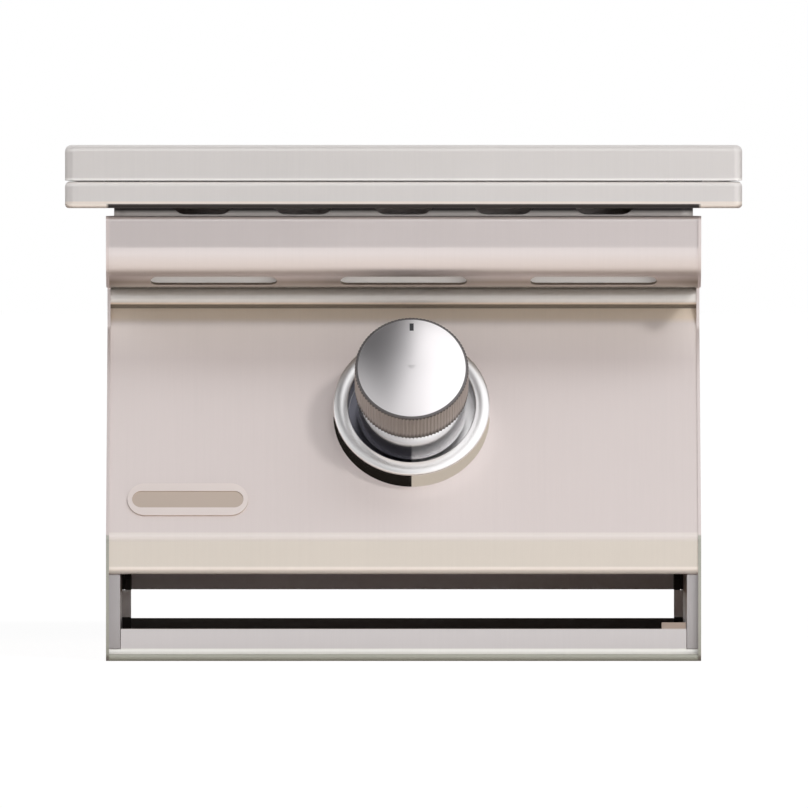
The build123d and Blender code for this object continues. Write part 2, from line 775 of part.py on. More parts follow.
save(bullnose, "bullnose")

with BuildPart() as control_panel:
    with BuildSketch(Plane.YZ):
        sheet_section(
            [
                (FACE + BAND_RETURN, WINDOW_TOP),
                (FACE, WINDOW_TOP),
                (FACE, PANEL_BOTTOM),
                (PANEL_HEAD, PANEL_TOP),
                (BEAD_FRONT, PANEL_TOP + BEAD_LIFT),
                (BEAD_FRONT, NOSE_BOTTOM),
                (NOSE_BACK, NOSE_BOTTOM),
            ],
            [BAND_BEND, PANEL_BEND, BEAD_CREASE, BEAD_LOW_BEND, BEAD_TOP_BEND],
            SHEET,
            Side.RIGHT,
        )
    extrude(amount=WALL_INSIDE, both=True)
    for side in (-1, 1):
        with BuildSketch(PANEL_PLANE.offset(-SHEET / 2)):
            with Locations((side * (WALL_INSIDE - SHEET / 2), 0)):
                Rectangle(SHEET, PANEL_FLANGE_LENGTH)
        extrude(amount=SHEET / 2 - PANEL_FLANGE)
        for place in panel_screw_places(side):
            rod(place, SCREW_RADIUS, -SCREW_LENGTH, mode=Mode.SUBTRACT)
    rod(KNOB_PLANE, BUSH_RADIUS + FIT, -SHEET, mode=Mode.SUBTRACT)
    with BuildSketch(KNOB_PLANE):
        with GridLocations(VALVE_SCREW_PITCH, 0, 2, 1):
            Circle(VALVE_SCREW_RADIUS + HOLE_FIT)
    extrude(amount=-SHEET, mode=Mode.SUBTRACT)
save(control_panel, "control_panel")

with BuildPart() as panel_screws:
    for side in (-1, 1):
        for place in panel_screw_places(side):
            flush_screw(place)
save(panel_screws, "panel_screws")

with BuildPart() as nameplate:
    with BuildSketch(PANEL_PLANE):
        with Locations((BADGE_INSET - WALL_INSIDE, -BADGE_DROP)):
            SlotOverall(BADGE_LENGTH, BADGE_HEIGHT)
    extrude(amount=BADGE_SHEET)
    with BuildSketch(PANEL_PLANE.offset(BADGE_SHEET)):
        with Locations((BADGE_INSET - WALL_INSIDE, -BADGE_DROP)):
            SlotOverall(BADGE_FIELD_LENGTH, BADGE_FIELD_HEIGHT)
    extrude(amount=-BADGE_RECESS, mode=Mode.SUBTRACT)
save(nameplate, "nameplate")

with BuildPart() as heat_shield:
    shield_drop = (SHIELD_HEIGHT - SHIELD_FLANGE, SHIELD_HEIGHT)
    block(
        (-WALL_INSIDE, WALL_INSIDE),
        (SHIELD_FRONT, SHIELD_BACK),
        (SHIELD_HEIGHT - SHEET, SHIELD_HEIGHT),
    )
    for side in (-1, 1):
        block(
            (side * (WALL_INSIDE - SHEET), side * WALL_INSIDE),
            (SHIELD_FRONT, SHIELD_BACK),
            shield_drop,
        )
    block((-WALL_INSIDE, WALL_INSIDE), (SHIELD_BACK - SHEET, SHIELD_BACK), shield_drop)
save(heat_shield, "heat_shield")

# ------------------------------------------------------------------ bezel and knob

with BuildPart() as knob_bezel:
    shoulder = BEZEL_HEIGHT - BEZEL_DOME
    with BuildSketch(half_section(KNOB_PLANE)):
        with BuildLine():
            Polyline(
                (BEZEL_INNER, shoulder),
                (BEZEL_INNER, BEZEL_FLOOR),
                (BEZEL_HOLE, BEZEL_FLOOR),
                (BEZEL_HOLE, 0),
                (BEZEL_RADIUS, 0),
                (BEZEL_RADIUS, shoulder),
            )
            ThreePointArc(
                (BEZEL_RADIUS, shoulder),
                ((BEZEL_RADIUS + BEZEL_INNER) / 2, BEZEL_HEIGHT),
                (BEZEL_INNER, shoulder),
            )
        make_face()
    revolve(axis=KNOB_AXIS)
    rings = edges().filter_by(lambda edge: edge.is_closed)
    fillet(rings.group_by(KNOB_AXIS)[-1], BEZEL_EDGE)
    with BuildSketch(KNOB_PLANE):
        with GridLocations(VALVE_SCREW_PITCH, 0, 2, 1):
            Circle(VALVE_SCREW_RADIUS + HOLE_FIT)
    extrude(amount=BEZEL_FLOOR, mode=Mode.SUBTRACT)
save(knob_bezel, "knob_bezel")

with BuildPart() as bezel_screws:
    for side in (-1, 1):
        screw(
            Plane(
                origin=KNOB_PLANE.from_local_coords((side * VALVE_SCREW_PITCH / 2, 0, BEZEL_FLOOR)),
                x_dir=KNOB_PLANE.x_dir,
                z_dir=KNOB_PLANE.z_dir,
            ),
            VALVE_SCREW_HEAD,
            VALVE_SCREW_HEAD_HEIGHT,
            VALVE_SCREW_RADIUS,
            BEZEL_FLOOR + SHEET + VALVE_FLANGE_SHEET,
            VALVE_SCREW_SOCKET,
        )
save(bezel_screws, "bezel_screws")

with BuildPart() as knob_body:
    rounding = KNOB_EDGE * sqrt(0.5)
    with BuildSketch(half_section(KNOB_PLANE)):
        with BuildLine():
            Polyline(
                (GRIP_RADIUS - KNOB_EDGE, KNOB_HEIGHT),
                (CAP_RADIUS, KNOB_HEIGHT),
                (CAP_RADIUS, KNOB_HEIGHT - CAP_SHEET),
                (0, KNOB_HEIGHT - CAP_SHEET),
                (0, STEM_TOP),
                (STEM_RADIUS, STEM_TOP),
                (STEM_RADIUS, KNOB_FOOT),
                (HUB_RADIUS, KNOB_FOOT),
                (HUB_RADIUS, KNOB_CEILING),
                (SKIRT_RADIUS - KNOB_WALL, KNOB_CEILING),
                (SKIRT_RADIUS - KNOB_WALL, KNOB_FOOT),
                (SKIRT_RADIUS, KNOB_FOOT),
                (SKIRT_RADIUS, KNOB_HEIGHT - GRIP_HEIGHT),
                (GRIP_RADIUS, KNOB_HEIGHT - GRIP_HEIGHT),
                (GRIP_RADIUS, KNOB_HEIGHT - KNOB_EDGE),
            )
            ThreePointArc(
                (GRIP_RADIUS, KNOB_HEIGHT - KNOB_EDGE),
                (GRIP_RADIUS - KNOB_EDGE + rounding, KNOB_HEIGHT - KNOB_EDGE + rounding),
                (GRIP_RADIUS - KNOB_EDGE, KNOB_HEIGHT),
            )
        make_face()
    revolve(axis=KNOB_AXIS)
    with BuildSketch(KNOB_PLANE.offset(KNOB_HEIGHT - GRIP_HEIGHT)):
        with PolarLocations(GRIP_RADIUS + FLUTE_RADIUS - FLUTE_DEPTH, GRIP_FLUTES):
            Circle(FLUTE_RADIUS)
    extrude(amount=GRIP_HEIGHT, mode=Mode.SUBTRACT)
save(knob_body, "knob_body")

# The face of the cap is a shallow dome, and the pointer lies flush in it
DOME = (CAP_RADIUS**2 + CAP_RISE**2) / (2 * CAP_RISE)
pointer_slope = asin(POINTER_REACH / DOME)
pointer_surface = KNOB_HEIGHT + CAP_RISE - DOME * (1 - cos(pointer_slope))
pointer_place = Plane(
    origin=KNOB_PLANE.from_local_coords((0, POINTER_REACH, pointer_surface)),
    x_dir=KNOB_PLANE.x_dir,
    z_dir=KNOB_PLANE.z_dir * cos(pointer_slope) + KNOB_PLANE.y_dir * sin(pointer_slope),
)

with BuildPart() as knob_cap:
    half_slope = asin(CAP_RADIUS / DOME) / 2
    with BuildSketch(half_section(KNOB_PLANE)):
        with BuildLine():
            Polyline(
                (0, KNOB_HEIGHT + CAP_RISE),
                (0, KNOB_HEIGHT - CAP_SHEET),
                (CAP_RADIUS, KNOB_HEIGHT - CAP_SHEET),
                (CAP_RADIUS, KNOB_HEIGHT),
            )
            ThreePointArc(
                (CAP_RADIUS, KNOB_HEIGHT),
                (DOME * sin(half_slope), KNOB_HEIGHT + CAP_RISE - DOME * (1 - cos(half_slope))),
                (0, KNOB_HEIGHT + CAP_RISE),
            )
        make_face()
    revolve(axis=KNOB_AXIS)
    with BuildSketch(pointer_place):
        Rectangle(POINTER_WIDTH, POINTER_LENGTH)
    extrude(amount=-POINTER_DEPTH, mode=Mode.SUBTRACT)
save(knob_cap, "knob_cap")

with BuildPart() as knob_pointer:
    with BuildSketch(pointer_place):
        Rectangle(POINTER_WIDTH, POINTER_LENGTH)
    extrude(amount=-POINTER_DEPTH)
save(knob_pointer, "knob_pointer")

# ------------------------------------------------------------------ gas valve

with BuildPart() as valve_stem:
    rod(KNOB_PLANE.offset(-BLADE_END), STEM_RADIUS, BLADE_END + STEM_TOP)
    rod(
        KNOB_PLANE.offset(-STEM_COLLAR_DEPTH - STEM_COLLAR),
        STEM_COLLAR_RADIUS,
        STEM_COLLAR,
    )
    with BuildSketch(KNOB_PLANE.offset(-BLADE_END)):
        for side in (-1, 1):
            with Locations((0, side * (BLADE + STEM_RADIUS))):
                Rectangle(2 * STEM_RADIUS, 2 * STEM_RADIUS + BLADE)
    extrude(amount=BLADE_END - BLADE_START, mode=Mode.SUBTRACT)
save(valve_stem, "valve_stem")

with BuildPart() as valve_plug:
    rod(KNOB_PLANE.offset(-PLUG_TOP), PLUG_RADIUS, -PLUG_LENGTH)
    with BuildSketch(KNOB_PLANE.offset(-PLUG_TOP)):
        Rectangle(2 * (STEM_RADIUS + RUNNING), BLADE + 2 * RUNNING)
    extrude(amount=PLUG_TOP - BLADE_END - KNOB_TRAVEL - BLADE / 2, mode=Mode.SUBTRACT)
    rod(KNOB_PLANE.offset(-PLUG_FOOT), STEM_RADIUS, PLUG_CHAMBER, mode=Mode.SUBTRACT)
    rod(sideways(KNOB_X, INLET_Y, INLET_Z), GAS_WAY, PLUG_RADIUS, mode=Mode.SUBTRACT)
save(valve_plug, "valve_plug")

with BuildPart() as valve_spring:
    spring_foot = KNOB_PLANE.offset(SPRING_WIRE / 2 - PLUG_TOP)
    spring_height = PLUG_TOP - STEM_COLLAR_DEPTH - STEM_COLLAR - SPRING_WIRE
    with BuildLine() as coil:
        Helix(
            spring_height / SPRING_TURNS,
            spring_height,
            SPRING_RADIUS,
            center=spring_foot.origin,
            direction=OUTWARD,
        )
    with BuildSketch(Plane(origin=coil.line @ 0, z_dir=coil.line % 0)):
        Circle(SPRING_WIRE / 2)
    sweep(is_frenet=True)
save(valve_spring, "valve_spring")

with BuildPart() as valve_bonnet:
    turned(
        KNOB_PLANE,
        [
            (STEM_RADIUS + RUNNING, BUSH_PROUD),
            (BUSH_RADIUS, BUSH_PROUD),
            (BUSH_RADIUS, -SHEET),
            (BONNET_RADIUS, -SHEET),
            (BONNET_RADIUS, -BONNET_DEPTH),
            (CHAMBER_RADIUS, -BONNET_DEPTH),
            (CHAMBER_RADIUS, RUNNING - STEM_COLLAR_DEPTH),
            (STEM_RADIUS + RUNNING, RUNNING - STEM_COLLAR_DEPTH),
        ],
    )
    with BuildSketch(KNOB_PLANE.offset(-SHEET)):
        RectangleRounded(VALVE_FLANGE_WIDTH, VALVE_FLANGE_HEIGHT, VALVE_FLANGE_HEIGHT / 3)
        Circle(BUSH_RADIUS, mode=Mode.SUBTRACT)
        with GridLocations(VALVE_SCREW_PITCH, 0, 2, 1):
            Circle(VALVE_SCREW_RADIUS, mode=Mode.SUBTRACT)
    extrude(amount=-VALVE_FLANGE_SHEET)
save(valve_bonnet, "valve_bonnet")

with BuildPart() as valve_body:
    rod(KNOB_PLANE.offset(-BONNET_DEPTH), VALVE_RADIUS, BONNET_DEPTH - VALVE_DEPTH)
    rod(backward(0, OUTLET_Y, OUTLET_Z), OUTLET_RADIUS, OUTLET_REACH)
    rod(sideways(INLET_END, INLET_Y, INLET_Z), INLET_RADIUS, KNOB_X - INLET_END)
    rod(
        backward(0, OUTLET_END, OUTLET_Z),
        HOOD_SPIGOT_RADIUS + RUNNING,
        -HOOD_SPIGOT_LENGTH,
        mode=Mode.SUBTRACT,
    )
    rod(backward(0, OUTLET_Y, OUTLET_Z), GAS_WAY, OUTLET_REACH, mode=Mode.SUBTRACT)
    rod(
        sideways(INLET_END, INLET_Y, INLET_Z),
        GAS_WAY,
        KNOB_X - INLET_END,
        mode=Mode.SUBTRACT,
    )
    rod(
        KNOB_PLANE.offset(-PLUG_SEAT),
        PLUG_RADIUS + RUNNING,
        PLUG_SEAT - BONNET_DEPTH,
        mode=Mode.SUBTRACT,
    )
    rod(KNOB_PLANE.offset(-PLUG_SEAT), GALLERY_RADIUS, -GALLERY_DEPTH, mode=Mode.SUBTRACT)
save(valve_body, "valve_body")

with BuildPart() as orifice_hood:
    rod(backward(0, OUTLET_END, OUTLET_Z), HOOD_SPIGOT_RADIUS, -HOOD_SPIGOT_LENGTH)
    with BuildSketch(backward(0, OUTLET_END, OUTLET_Z)):
        RegularPolygon(HOOD_HEX, 6)
    extrude(amount=HOOD_LENGTH - HOOD_NOSE_LENGTH)
    rod(
        backward(0, HOOD_END - HOOD_NOSE_LENGTH, OUTLET_Z), HOOD_NOSE_RADIUS, HOOD_NOSE_LENGTH
    )
    rod(
        backward(0, OUTLET_END - HOOD_SPIGOT_LENGTH, OUTLET_Z),
        GAS_WAY,
        HOOD_SPIGOT_LENGTH + HOOD_LENGTH - HOOD_TIP,
        mode=Mode.SUBTRACT,
    )
    rod(backward(0, HOOD_END - HOOD_TIP, OUTLET_Z), JET_RADIUS, HOOD_TIP, mode=Mode.SUBTRACT)
save(orifice_hood, "orifice_hood")

with BuildPart() as gas_manifold:
    with BuildLine():
        FilletPolyline(
            (INLET_END, INLET_Y, INLET_Z),
            (MANIFOLD_X, INLET_Y, INLET_Z),
            (MANIFOLD_X, COLLAR_REAR - FITTING_STUB, INLET_Z),
            radius=MANIFOLD_BEND,
        )
    with BuildSketch(sideways(INLET_END, INLET_Y, INLET_Z, -1)):
        Circle(MANIFOLD_RADIUS)
        Circle(MANIFOLD_RADIUS - MANIFOLD_WALL, mode=Mode.SUBTRACT)
    sweep()
save(gas_manifold, "gas_manifold")

with BuildPart() as inlet_fitting:
    fitting_place = backward(MANIFOLD_X, COLLAR_REAR - FITTING_STUB, INLET_Z)
    with BuildSketch(fitting_place):
        RegularPolygon(FITTING_HEX, 6)
    extrude(amount=FITTING_STUB)
    turned(
        fitting_place,
        [
            (0, FITTING_STUB),
            (BULKHEAD_RADIUS, FITTING_STUB),
            (BULKHEAD_RADIUS, BULKHEAD_END),
            (RELIEF_RADIUS, BULKHEAD_END),
            (RELIEF_RADIUS, FLARE_START),
            (FLARE_RADIUS, FLARE_START),
            (FLARE_RADIUS, FLARE_END),
            (FLARE_RADIUS - FLARE_CONE, FLARE_END + FLARE_CONE),
            (0, FLARE_END + FLARE_CONE),
        ],
    )
    rod(fitting_place, FITTING_BORE, FLARE_END + FLARE_CONE, mode=Mode.SUBTRACT)
save(inlet_fitting, "inlet_fitting")

with BuildPart() as inlet_locknut:
    with BuildSketch(backward(MANIFOLD_X, BODY_REAR, INLET_Z)):
        RegularPolygon(FITTING_HEX, 6)
        Circle(BULKHEAD_RADIUS, mode=Mode.SUBTRACT)
    extrude(amount=LOCKNUT_LENGTH)
save(inlet_locknut, "inlet_locknut")

# ------------------------------------------------------------------ mixing tube and shutter


def air_windows():
    """Cut the two side windows that let air into the mixing bell."""
    block(
        (-2 * BELL_RADIUS, 2 * BELL_RADIUS),
        (BELL_WINDOW_START, BELL_WINDOW_START + BELL_WINDOW),
        (OUTLET_Z - BELL_WINDOW_HEIGHT / 2, OUTLET_Z + BELL_WINDOW_HEIGHT / 2),
        mode=Mode.SUBTRACT,
    )


with BuildPart() as venturi_tube:
    turned(
        backward(0, BELL_FRONT, OUTLET_Z),
        [
            (HOOD_NOSE_RADIUS + HOLE_FIT, 0),
            (BELL_RADIUS, 0),
            (BELL_RADIUS, BELL_LENGTH),
            (TUBE_RADIUS, BELL_LENGTH + BELL_CONE),
            (TUBE_RADIUS - SHEET, BELL_LENGTH + BELL_CONE),
            (BELL_RADIUS - BELL_WALL, BELL_LENGTH),
            (BELL_RADIUS - BELL_WALL, BELL_WALL),
            (HOOD_NOSE_RADIUS + HOLE_FIT, BELL_WALL),
        ],
    )
    air_windows()
    with BuildLine():
        FilletPolyline(
            (0, BELL_REAR + BELL_CONE, OUTLET_Z),
            (0, CENTRE, OUTLET_Z),
            (0, CENTRE, TUBE_TOP),
            radius=TUBE_BEND,
        )
    with BuildSketch(backward(0, BELL_REAR + BELL_CONE, OUTLET_Z)):
        Circle(TUBE_RADIUS)
        Circle(TUBE_RADIUS - SHEET, mode=Mode.SUBTRACT)
    sweep()
save(venturi_tube, "venturi_tube")

with BuildPart() as air_shutter:
    shutter_place = backward(0, SHUTTER_FRONT, OUTLET_Z)
    rod(shutter_place, BELL_RADIUS + RUNNING + SHUTTER_SHEET, SHUTTER_LENGTH)
    rod(upright(0, SHUTTER_BOSS_Y, OUTLET_Z), SHUTTER_BOSS, BELL_RADIUS + SHUTTER_BOSS)
    rod(shutter_place, BELL_RADIUS + RUNNING, SHUTTER_LENGTH, mode=Mode.SUBTRACT)
    air_windows()
    rod(
        upright(0, SHUTTER_BOSS_Y, OUTLET_Z),
        SHUTTER_SCREW_RADIUS,
        2 * BELL_RADIUS,
        mode=Mode.SUBTRACT,
    )
save(air_shutter, "air_shutter")

with BuildPart() as shutter_screw:
    screw(
        upright(0, SHUTTER_BOSS_Y, OUTLET_Z + BELL_RADIUS + SHUTTER_BOSS),
        SHUTTER_BOSS,
        SHUTTER_HEAD,
        SHUTTER_SCREW_RADIUS,
        SHUTTER_BOSS - FIT,
    )
save(shutter_screw, "shutter_screw")

# ------------------------------------------------------------------ bowl, burner and grate

bowl_outside = bowl_block(BOWL_SHEET)
bowl_inside = bowl_block(0)

with BuildPart() as burner_bowl:
    rounded_block(
        BOWL_WIDTH + 2 * BOWL_RIM,
        BOWL_LENGTH + 2 * BOWL_RIM,
        TRIM_TOP,
        RIM_TOP,
        BOWL_CORNER + BOWL_RIM,
        CENTRE,
    )
    add(bowl_outside)
    add(bowl_inside, mode=Mode.SUBTRACT)
    rod(upright(0, CENTRE, BOWL_FLOOR), BURNER_HUB + FIT, -BOWL_SHEET, mode=Mode.SUBTRACT)
    rod(
        upright(ELECTRODE_X, CENTRE, BOWL_FLOOR),
        INSULATOR_RADIUS + FIT,
        -BOWL_SHEET,
        mode=Mode.SUBTRACT,
    )
save(burner_bowl, "burner_bowl")

with BuildPart() as burner_base:
    turned(
        upright(0, CENTRE, BOWL_FLOOR),
        [
            (TUBE_RADIUS + RUNNING, -HUB_DROP),
            (BURNER_HUB, -HUB_DROP),
            (BURNER_HUB, 0),
            (BURNER_RADIUS, 0),
            (BURNER_RADIUS, BASE_HEIGHT),
            (BURNER_RADIUS - RING_WALL, BASE_HEIGHT),
            (BURNER_RADIUS - RING_WALL, BASE_FLOOR),
            (TUBE_RADIUS - SHEET, BASE_FLOOR),
            (TUBE_RADIUS - SHEET, -HUB_SHOULDER),
            (TUBE_RADIUS + RUNNING, -HUB_SHOULDER),
        ],
    )
save(burner_base, "burner_base")

with BuildPart() as burner_nut:
    with BuildSketch(upright(0, CENTRE, BOWL_FLOOR - BOWL_SHEET)):
        RegularPolygon(NUT_RADIUS, 6)
        Circle(BURNER_HUB, mode=Mode.SUBTRACT)
    extrude(amount=-NUT_HEIGHT)
save(burner_nut, "burner_nut")

with BuildPart() as burner_ring:
    with BuildSketch(upright(0, CENTRE, BASE_TOP)):
        Circle(BURNER_RADIUS)
        Circle(BURNER_RADIUS - RING_WALL, mode=Mode.SUBTRACT)
    extrude(amount=RING_HEIGHT)
    fillet(edges().filter_by(GeomType.CIRCLE).group_by(Axis.Z)[-1].sort_by(SortBy.RADIUS)[-1], 1)
    with Locations((0, CENTRE, BASE_TOP + PORT_LIFT)):
        with PolarLocations(BURNER_RADIUS - RING_WALL / 2, RING_PORTS):
            Cylinder(PORT_RADIUS, 2 * RING_WALL, rotation=(0, 90, 0), mode=Mode.SUBTRACT)
save(burner_ring, "burner_ring")

with BuildPart() as burner_cap:
    turned(
        upright(0, CENTRE, RING_TOP),
        [
            (0, -CAP_SPIGOT),
            (BURNER_RADIUS - RING_WALL - FIT, -CAP_SPIGOT),
            (BURNER_RADIUS - RING_WALL - FIT, 0),
            (BURNER_RADIUS - CAP_INSET, 0),
            (BURNER_RADIUS - CAP_INSET, CAP_HEIGHT / 2),
            (BURNER_RADIUS - CAP_INSET - CAP_HEIGHT, CAP_HEIGHT),
            (0, CAP_HEIGHT),
        ],
    )
save(burner_cap, "burner_cap")

with BuildPart() as grate_frame:
    with BuildSketch(Plane.XY.offset(RIM_TOP)):
        with Locations((0, CENTRE)):
            RectangleRounded(GRATE_WIDTH, GRATE_LENGTH, BOWL_CORNER)
            RectangleRounded(
                GRATE_WIDTH - 2 * GRATE_BAR,
                GRATE_LENGTH - 2 * GRATE_BAR,
                BOWL_CORNER - GRATE_BAR,
                mode=Mode.SUBTRACT,
            )
    extrude(amount=GRATE_BAR)
    chamfer(faces().sort_by(Axis.Z)[-1].edges(), GRATE_CHAMFER)
save(grate_frame, "grate_frame")

with BuildPart() as grate_bars:
    with BuildSketch(Plane.XY.offset(RIM_TOP)):
        with Locations((0, CENTRE)):
            with GridLocations(0, GRATE_PITCH, 1, GRATE_BARS):
                Rectangle(GRATE_WIDTH - 2 * GRATE_BAR, GRATE_BAR)
    extrude(amount=GRATE_BAR)
    chamfer(edges().group_by(Axis.Z)[-1].filter_by(Axis.X), GRATE_CHAMFER)
save(grate_bars, "grate_bars")

# ------------------------------------------------------------------ igniter

with BuildPart() as igniter_module:
    with BuildSketch(KNOB_PLANE.offset(-IGNITER_START)):
        with Locations((IGNITER_X, 0)):
            Rectangle(IGNITER_WIDTH, IGNITER_HEIGHT)
    extrude(amount=-IGNITER_LENGTH)
    fillet(edges().filter_by(KNOB_AXIS), IGNITER_EDGE)
save(igniter_module, "igniter_module")

with BuildPart() as electrode_insulator:
    turned(
        upright(ELECTRODE_X, CENTRE, BOWL_FLOOR + BRACKET_SHEET),
        [
            (ROD_RADIUS, -INSULATOR_BELOW),
            (INSULATOR_RADIUS, -INSULATOR_BELOW),
            (INSULATOR_RADIUS, 0),
            (INSULATOR_COLLAR, 0),
            (INSULATOR_COLLAR, INSULATOR_COLLAR_HEIGHT),
            (INSULATOR_RADIUS, INSULATOR_COLLAR_HEIGHT),
            (INSULATOR_RADIUS, INSULATOR_ABOVE),
            (ROD_RADIUS, INSULATOR_ABOVE),
        ],
    )
save(electrode_insulator, "electrode_insulator")

with BuildPart() as electrode_bracket:
    with BuildSketch(upright(ELECTRODE_X, CENTRE, BOWL_FLOOR)):
        RectangleRounded(BRACKET_WIDTH, BRACKET_LENGTH, BRACKET_WIDTH / 4)
        Circle(INSULATOR_RADIUS + FIT, mode=Mode.SUBTRACT)
    extrude(amount=BRACKET_SHEET)
save(electrode_bracket, "electrode_bracket")

with BuildPart() as electrode_rod:
    with BuildLine():
        FilletPolyline(
            (ELECTRODE_X, CENTRE, ROD_FOOT),
            (ELECTRODE_X, CENTRE, ROD_HEAD),
            (ROD_TIP, CENTRE, ROD_HEAD),
            radius=ROD_BEND,
        )
    with BuildSketch(upright(ELECTRODE_X, CENTRE, ROD_FOOT)):
        Circle(ROD_RADIUS)
    sweep()
save(electrode_rod, "electrode_rod")

with BuildPart() as igniter_lead:
    lead_start = axis_point(IGNITER_START + IGNITER_LENGTH)
    lead_drop = axis_point(IGNITER_START + IGNITER_LENGTH + LEAD_RUN)
    with BuildLine() as lead_route:
        FilletPolyline(
            (KNOB_X + IGNITER_X, *lead_start),
            (KNOB_X + IGNITER_X, *lead_drop),
            (ELECTRODE_X, lead_drop[0] + 2 * LEAD_RUN, lead_drop[1]),
            (ELECTRODE_X, CENTRE, lead_drop[1]),
            (ELECTRODE_X, CENTRE, ROD_FOOT),
            radius=LEAD_BEND,
        )
    with BuildSketch(Plane(origin=lead_route.line @ 0, z_dir=lead_route.line % 0)):
        Circle(LEAD_RADIUS)
    sweep()
save(igniter_lead, "igniter_lead")

# ------------------------------------------------------------------ lid and hinges

lid_outside = plate_block(0, LID_REAR, LID_BOTTOM, LID_TOP, LID_BEND)
lid_inside = plate_block(SHEET, LID_REAR, LID_BOTTOM, LID_TOP - SHEET, LID_BEND)

with BuildPart() as lid_shell:
    add(lid_outside)
    add(lid_inside, mode=Mode.SUBTRACT)
    for x in RIVET_COLUMNS:
        place = backward(x, LID_REAR, LID_RIVET_Z)
        rod(place, RIVET_RADIUS + HOLE_FIT, -SHEET, mode=Mode.SUBTRACT)
save(lid_shell, "lid_shell")

with BuildPart() as lid_liner:
    rounded_block(
        LINER_WIDTH, LINER_LENGTH, LINER_Z, LID_TOP - SHEET, LINER_CORNER, LID_MIDDLE
    )
    rounded_block(
        LINER_WIDTH - 2 * LINER_SHEET,
        LINER_LENGTH - 2 * LINER_SHEET,
        LINER_Z + LINER_SHEET,
        LID_TOP - SHEET,
        LINER_CORNER - LINER_SHEET,
        LID_MIDDLE,
        mode=Mode.SUBTRACT,
    )
save(lid_liner, "lid_liner")

with BuildPart() as lid_bumpers:
    with BuildSketch(upright(0, LID_MIDDLE, TRIM_TOP)):
        with GridLocations(
            LINER_WIDTH - 2 * BUMPER_INSET, LINER_LENGTH - 2 * BUMPER_INSET, 2, 2
        ):
            Circle(BUMPER_RADIUS)
    extrude(amount=LINER_Z - TRIM_TOP)
    fillet(edges().group_by(Axis.Z)[0], BUMPER_EDGE)
save(lid_bumpers, "lid_bumpers")


def knuckle(x, length, hole):
    """One knuckle of a hinge, centred on x, with its pin hole."""
    place = sideways(x - length / 2, HINGE_Y, HINGE_Z)
    rod(place, KNUCKLE_RADIUS, length)
    rod(place, hole, length, mode=Mode.SUBTRACT)


with BuildPart() as hinge_leaves_fixed:
    for side in (-1, 1):
        block(
            (side * HINGE_X - HINGE_LENGTH / 2, side * HINGE_X + HINGE_LENGTH / 2),
            (HINGE_Y + KNUCKLE_RADIUS, HINGE_Y + LEAF_REACH),
            (TRIM_TOP, TRIM_TOP + LEAF),
        )
        for end in (-1, 1):
            middle = side * HINGE_X + end * (HINGE_LENGTH + LID_KNUCKLE + 2 * FIT) / 4
            block(
                (middle - FIXED_KNUCKLE / 2, middle + FIXED_KNUCKLE / 2),
                (HINGE_Y, HINGE_Y + LEAF_REACH),
                (TRIM_TOP, TRIM_TOP + LEAF),
            )
            knuckle(middle, FIXED_KNUCKLE, PIN_RADIUS)
    for x in RIVET_COLUMNS:
        place = upright(x, FIXED_RIVET_Y, TRIM_TOP)
        rod(place, RIVET_RADIUS + HOLE_FIT, LEAF, mode=Mode.SUBTRACT)
save(hinge_leaves_fixed, "hinge_leaves_fixed")

with BuildPart() as hinge_leaves_lid:
    for side in (-1, 1):
        block(
            (side * HINGE_X - HINGE_LENGTH / 2, side * HINGE_X + HINGE_LENGTH / 2),
            (LID_REAR, LID_REAR + LEAF),
            (HINGE_Z - LEAF / 2, HINGE_Z + LEAF_RISE),
        )
        block(
            (side * HINGE_X - LID_KNUCKLE / 2, side * HINGE_X + LID_KNUCKLE / 2),
            (LID_REAR, HINGE_Y),
            (HINGE_Z - LEAF / 2, HINGE_Z + LEAF / 2),
        )
        knuckle(side * HINGE_X, LID_KNUCKLE, PIN_RADIUS + RUNNING)
    for x in RIVET_COLUMNS:
        place = backward(x, LID_REAR, LID_RIVET_Z)
        rod(place, RIVET_RADIUS + HOLE_FIT, LEAF, mode=Mode.SUBTRACT)
save(hinge_leaves_lid, "hinge_leaves_lid")

with BuildPart() as hinge_pins:
    for side in (-1, 1):
        first = side * HINGE_X - HINGE_LENGTH / 2
        rod(sideways(first, HINGE_Y, HINGE_Z), PIN_RADIUS, HINGE_LENGTH)
        rod(sideways(first, HINGE_Y, HINGE_Z), PIN_HEAD, -PIN_HEAD_LENGTH)
save(hinge_pins, "hinge_pins")

with BuildPart() as hinge_rivets:
    for x in RIVET_COLUMNS:
        screw(
            upright(x, FIXED_RIVET_Y, TRIM_TOP + LEAF),
            RIVET_HEAD,
            RIVET_HEAD_HEIGHT,
            RIVET_RADIUS,
            LEAF + SHEET,
        )
save(hinge_rivets, "hinge_rivets")

with BuildPart() as lid_rivets:
    for x in RIVET_COLUMNS:
        screw(
            backward(x, LID_REAR + LEAF, LID_RIVET_Z),
            RIVET_HEAD,
            RIVET_HEAD_HEIGHT,
            RIVET_RADIUS,
            LEAF + SHEET,
        )
save(lid_rivets, "lid_rivets")
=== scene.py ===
import math

import bpy
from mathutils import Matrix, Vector


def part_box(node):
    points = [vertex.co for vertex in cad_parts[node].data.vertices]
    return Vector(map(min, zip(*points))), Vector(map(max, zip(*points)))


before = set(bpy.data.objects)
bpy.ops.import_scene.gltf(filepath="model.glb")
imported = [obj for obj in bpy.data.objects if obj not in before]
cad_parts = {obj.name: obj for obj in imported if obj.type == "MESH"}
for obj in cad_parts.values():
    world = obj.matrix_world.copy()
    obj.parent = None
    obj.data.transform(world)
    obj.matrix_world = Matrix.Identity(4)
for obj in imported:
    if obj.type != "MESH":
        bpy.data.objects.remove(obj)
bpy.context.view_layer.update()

# The knob's axis points forwards and up, square to the sloping panel
TILT = math.radians(27.0)
AXIS = Vector((0.0, -math.cos(TILT), math.sin(TILT)))

# ------------------------------------------------------------------ node helpers

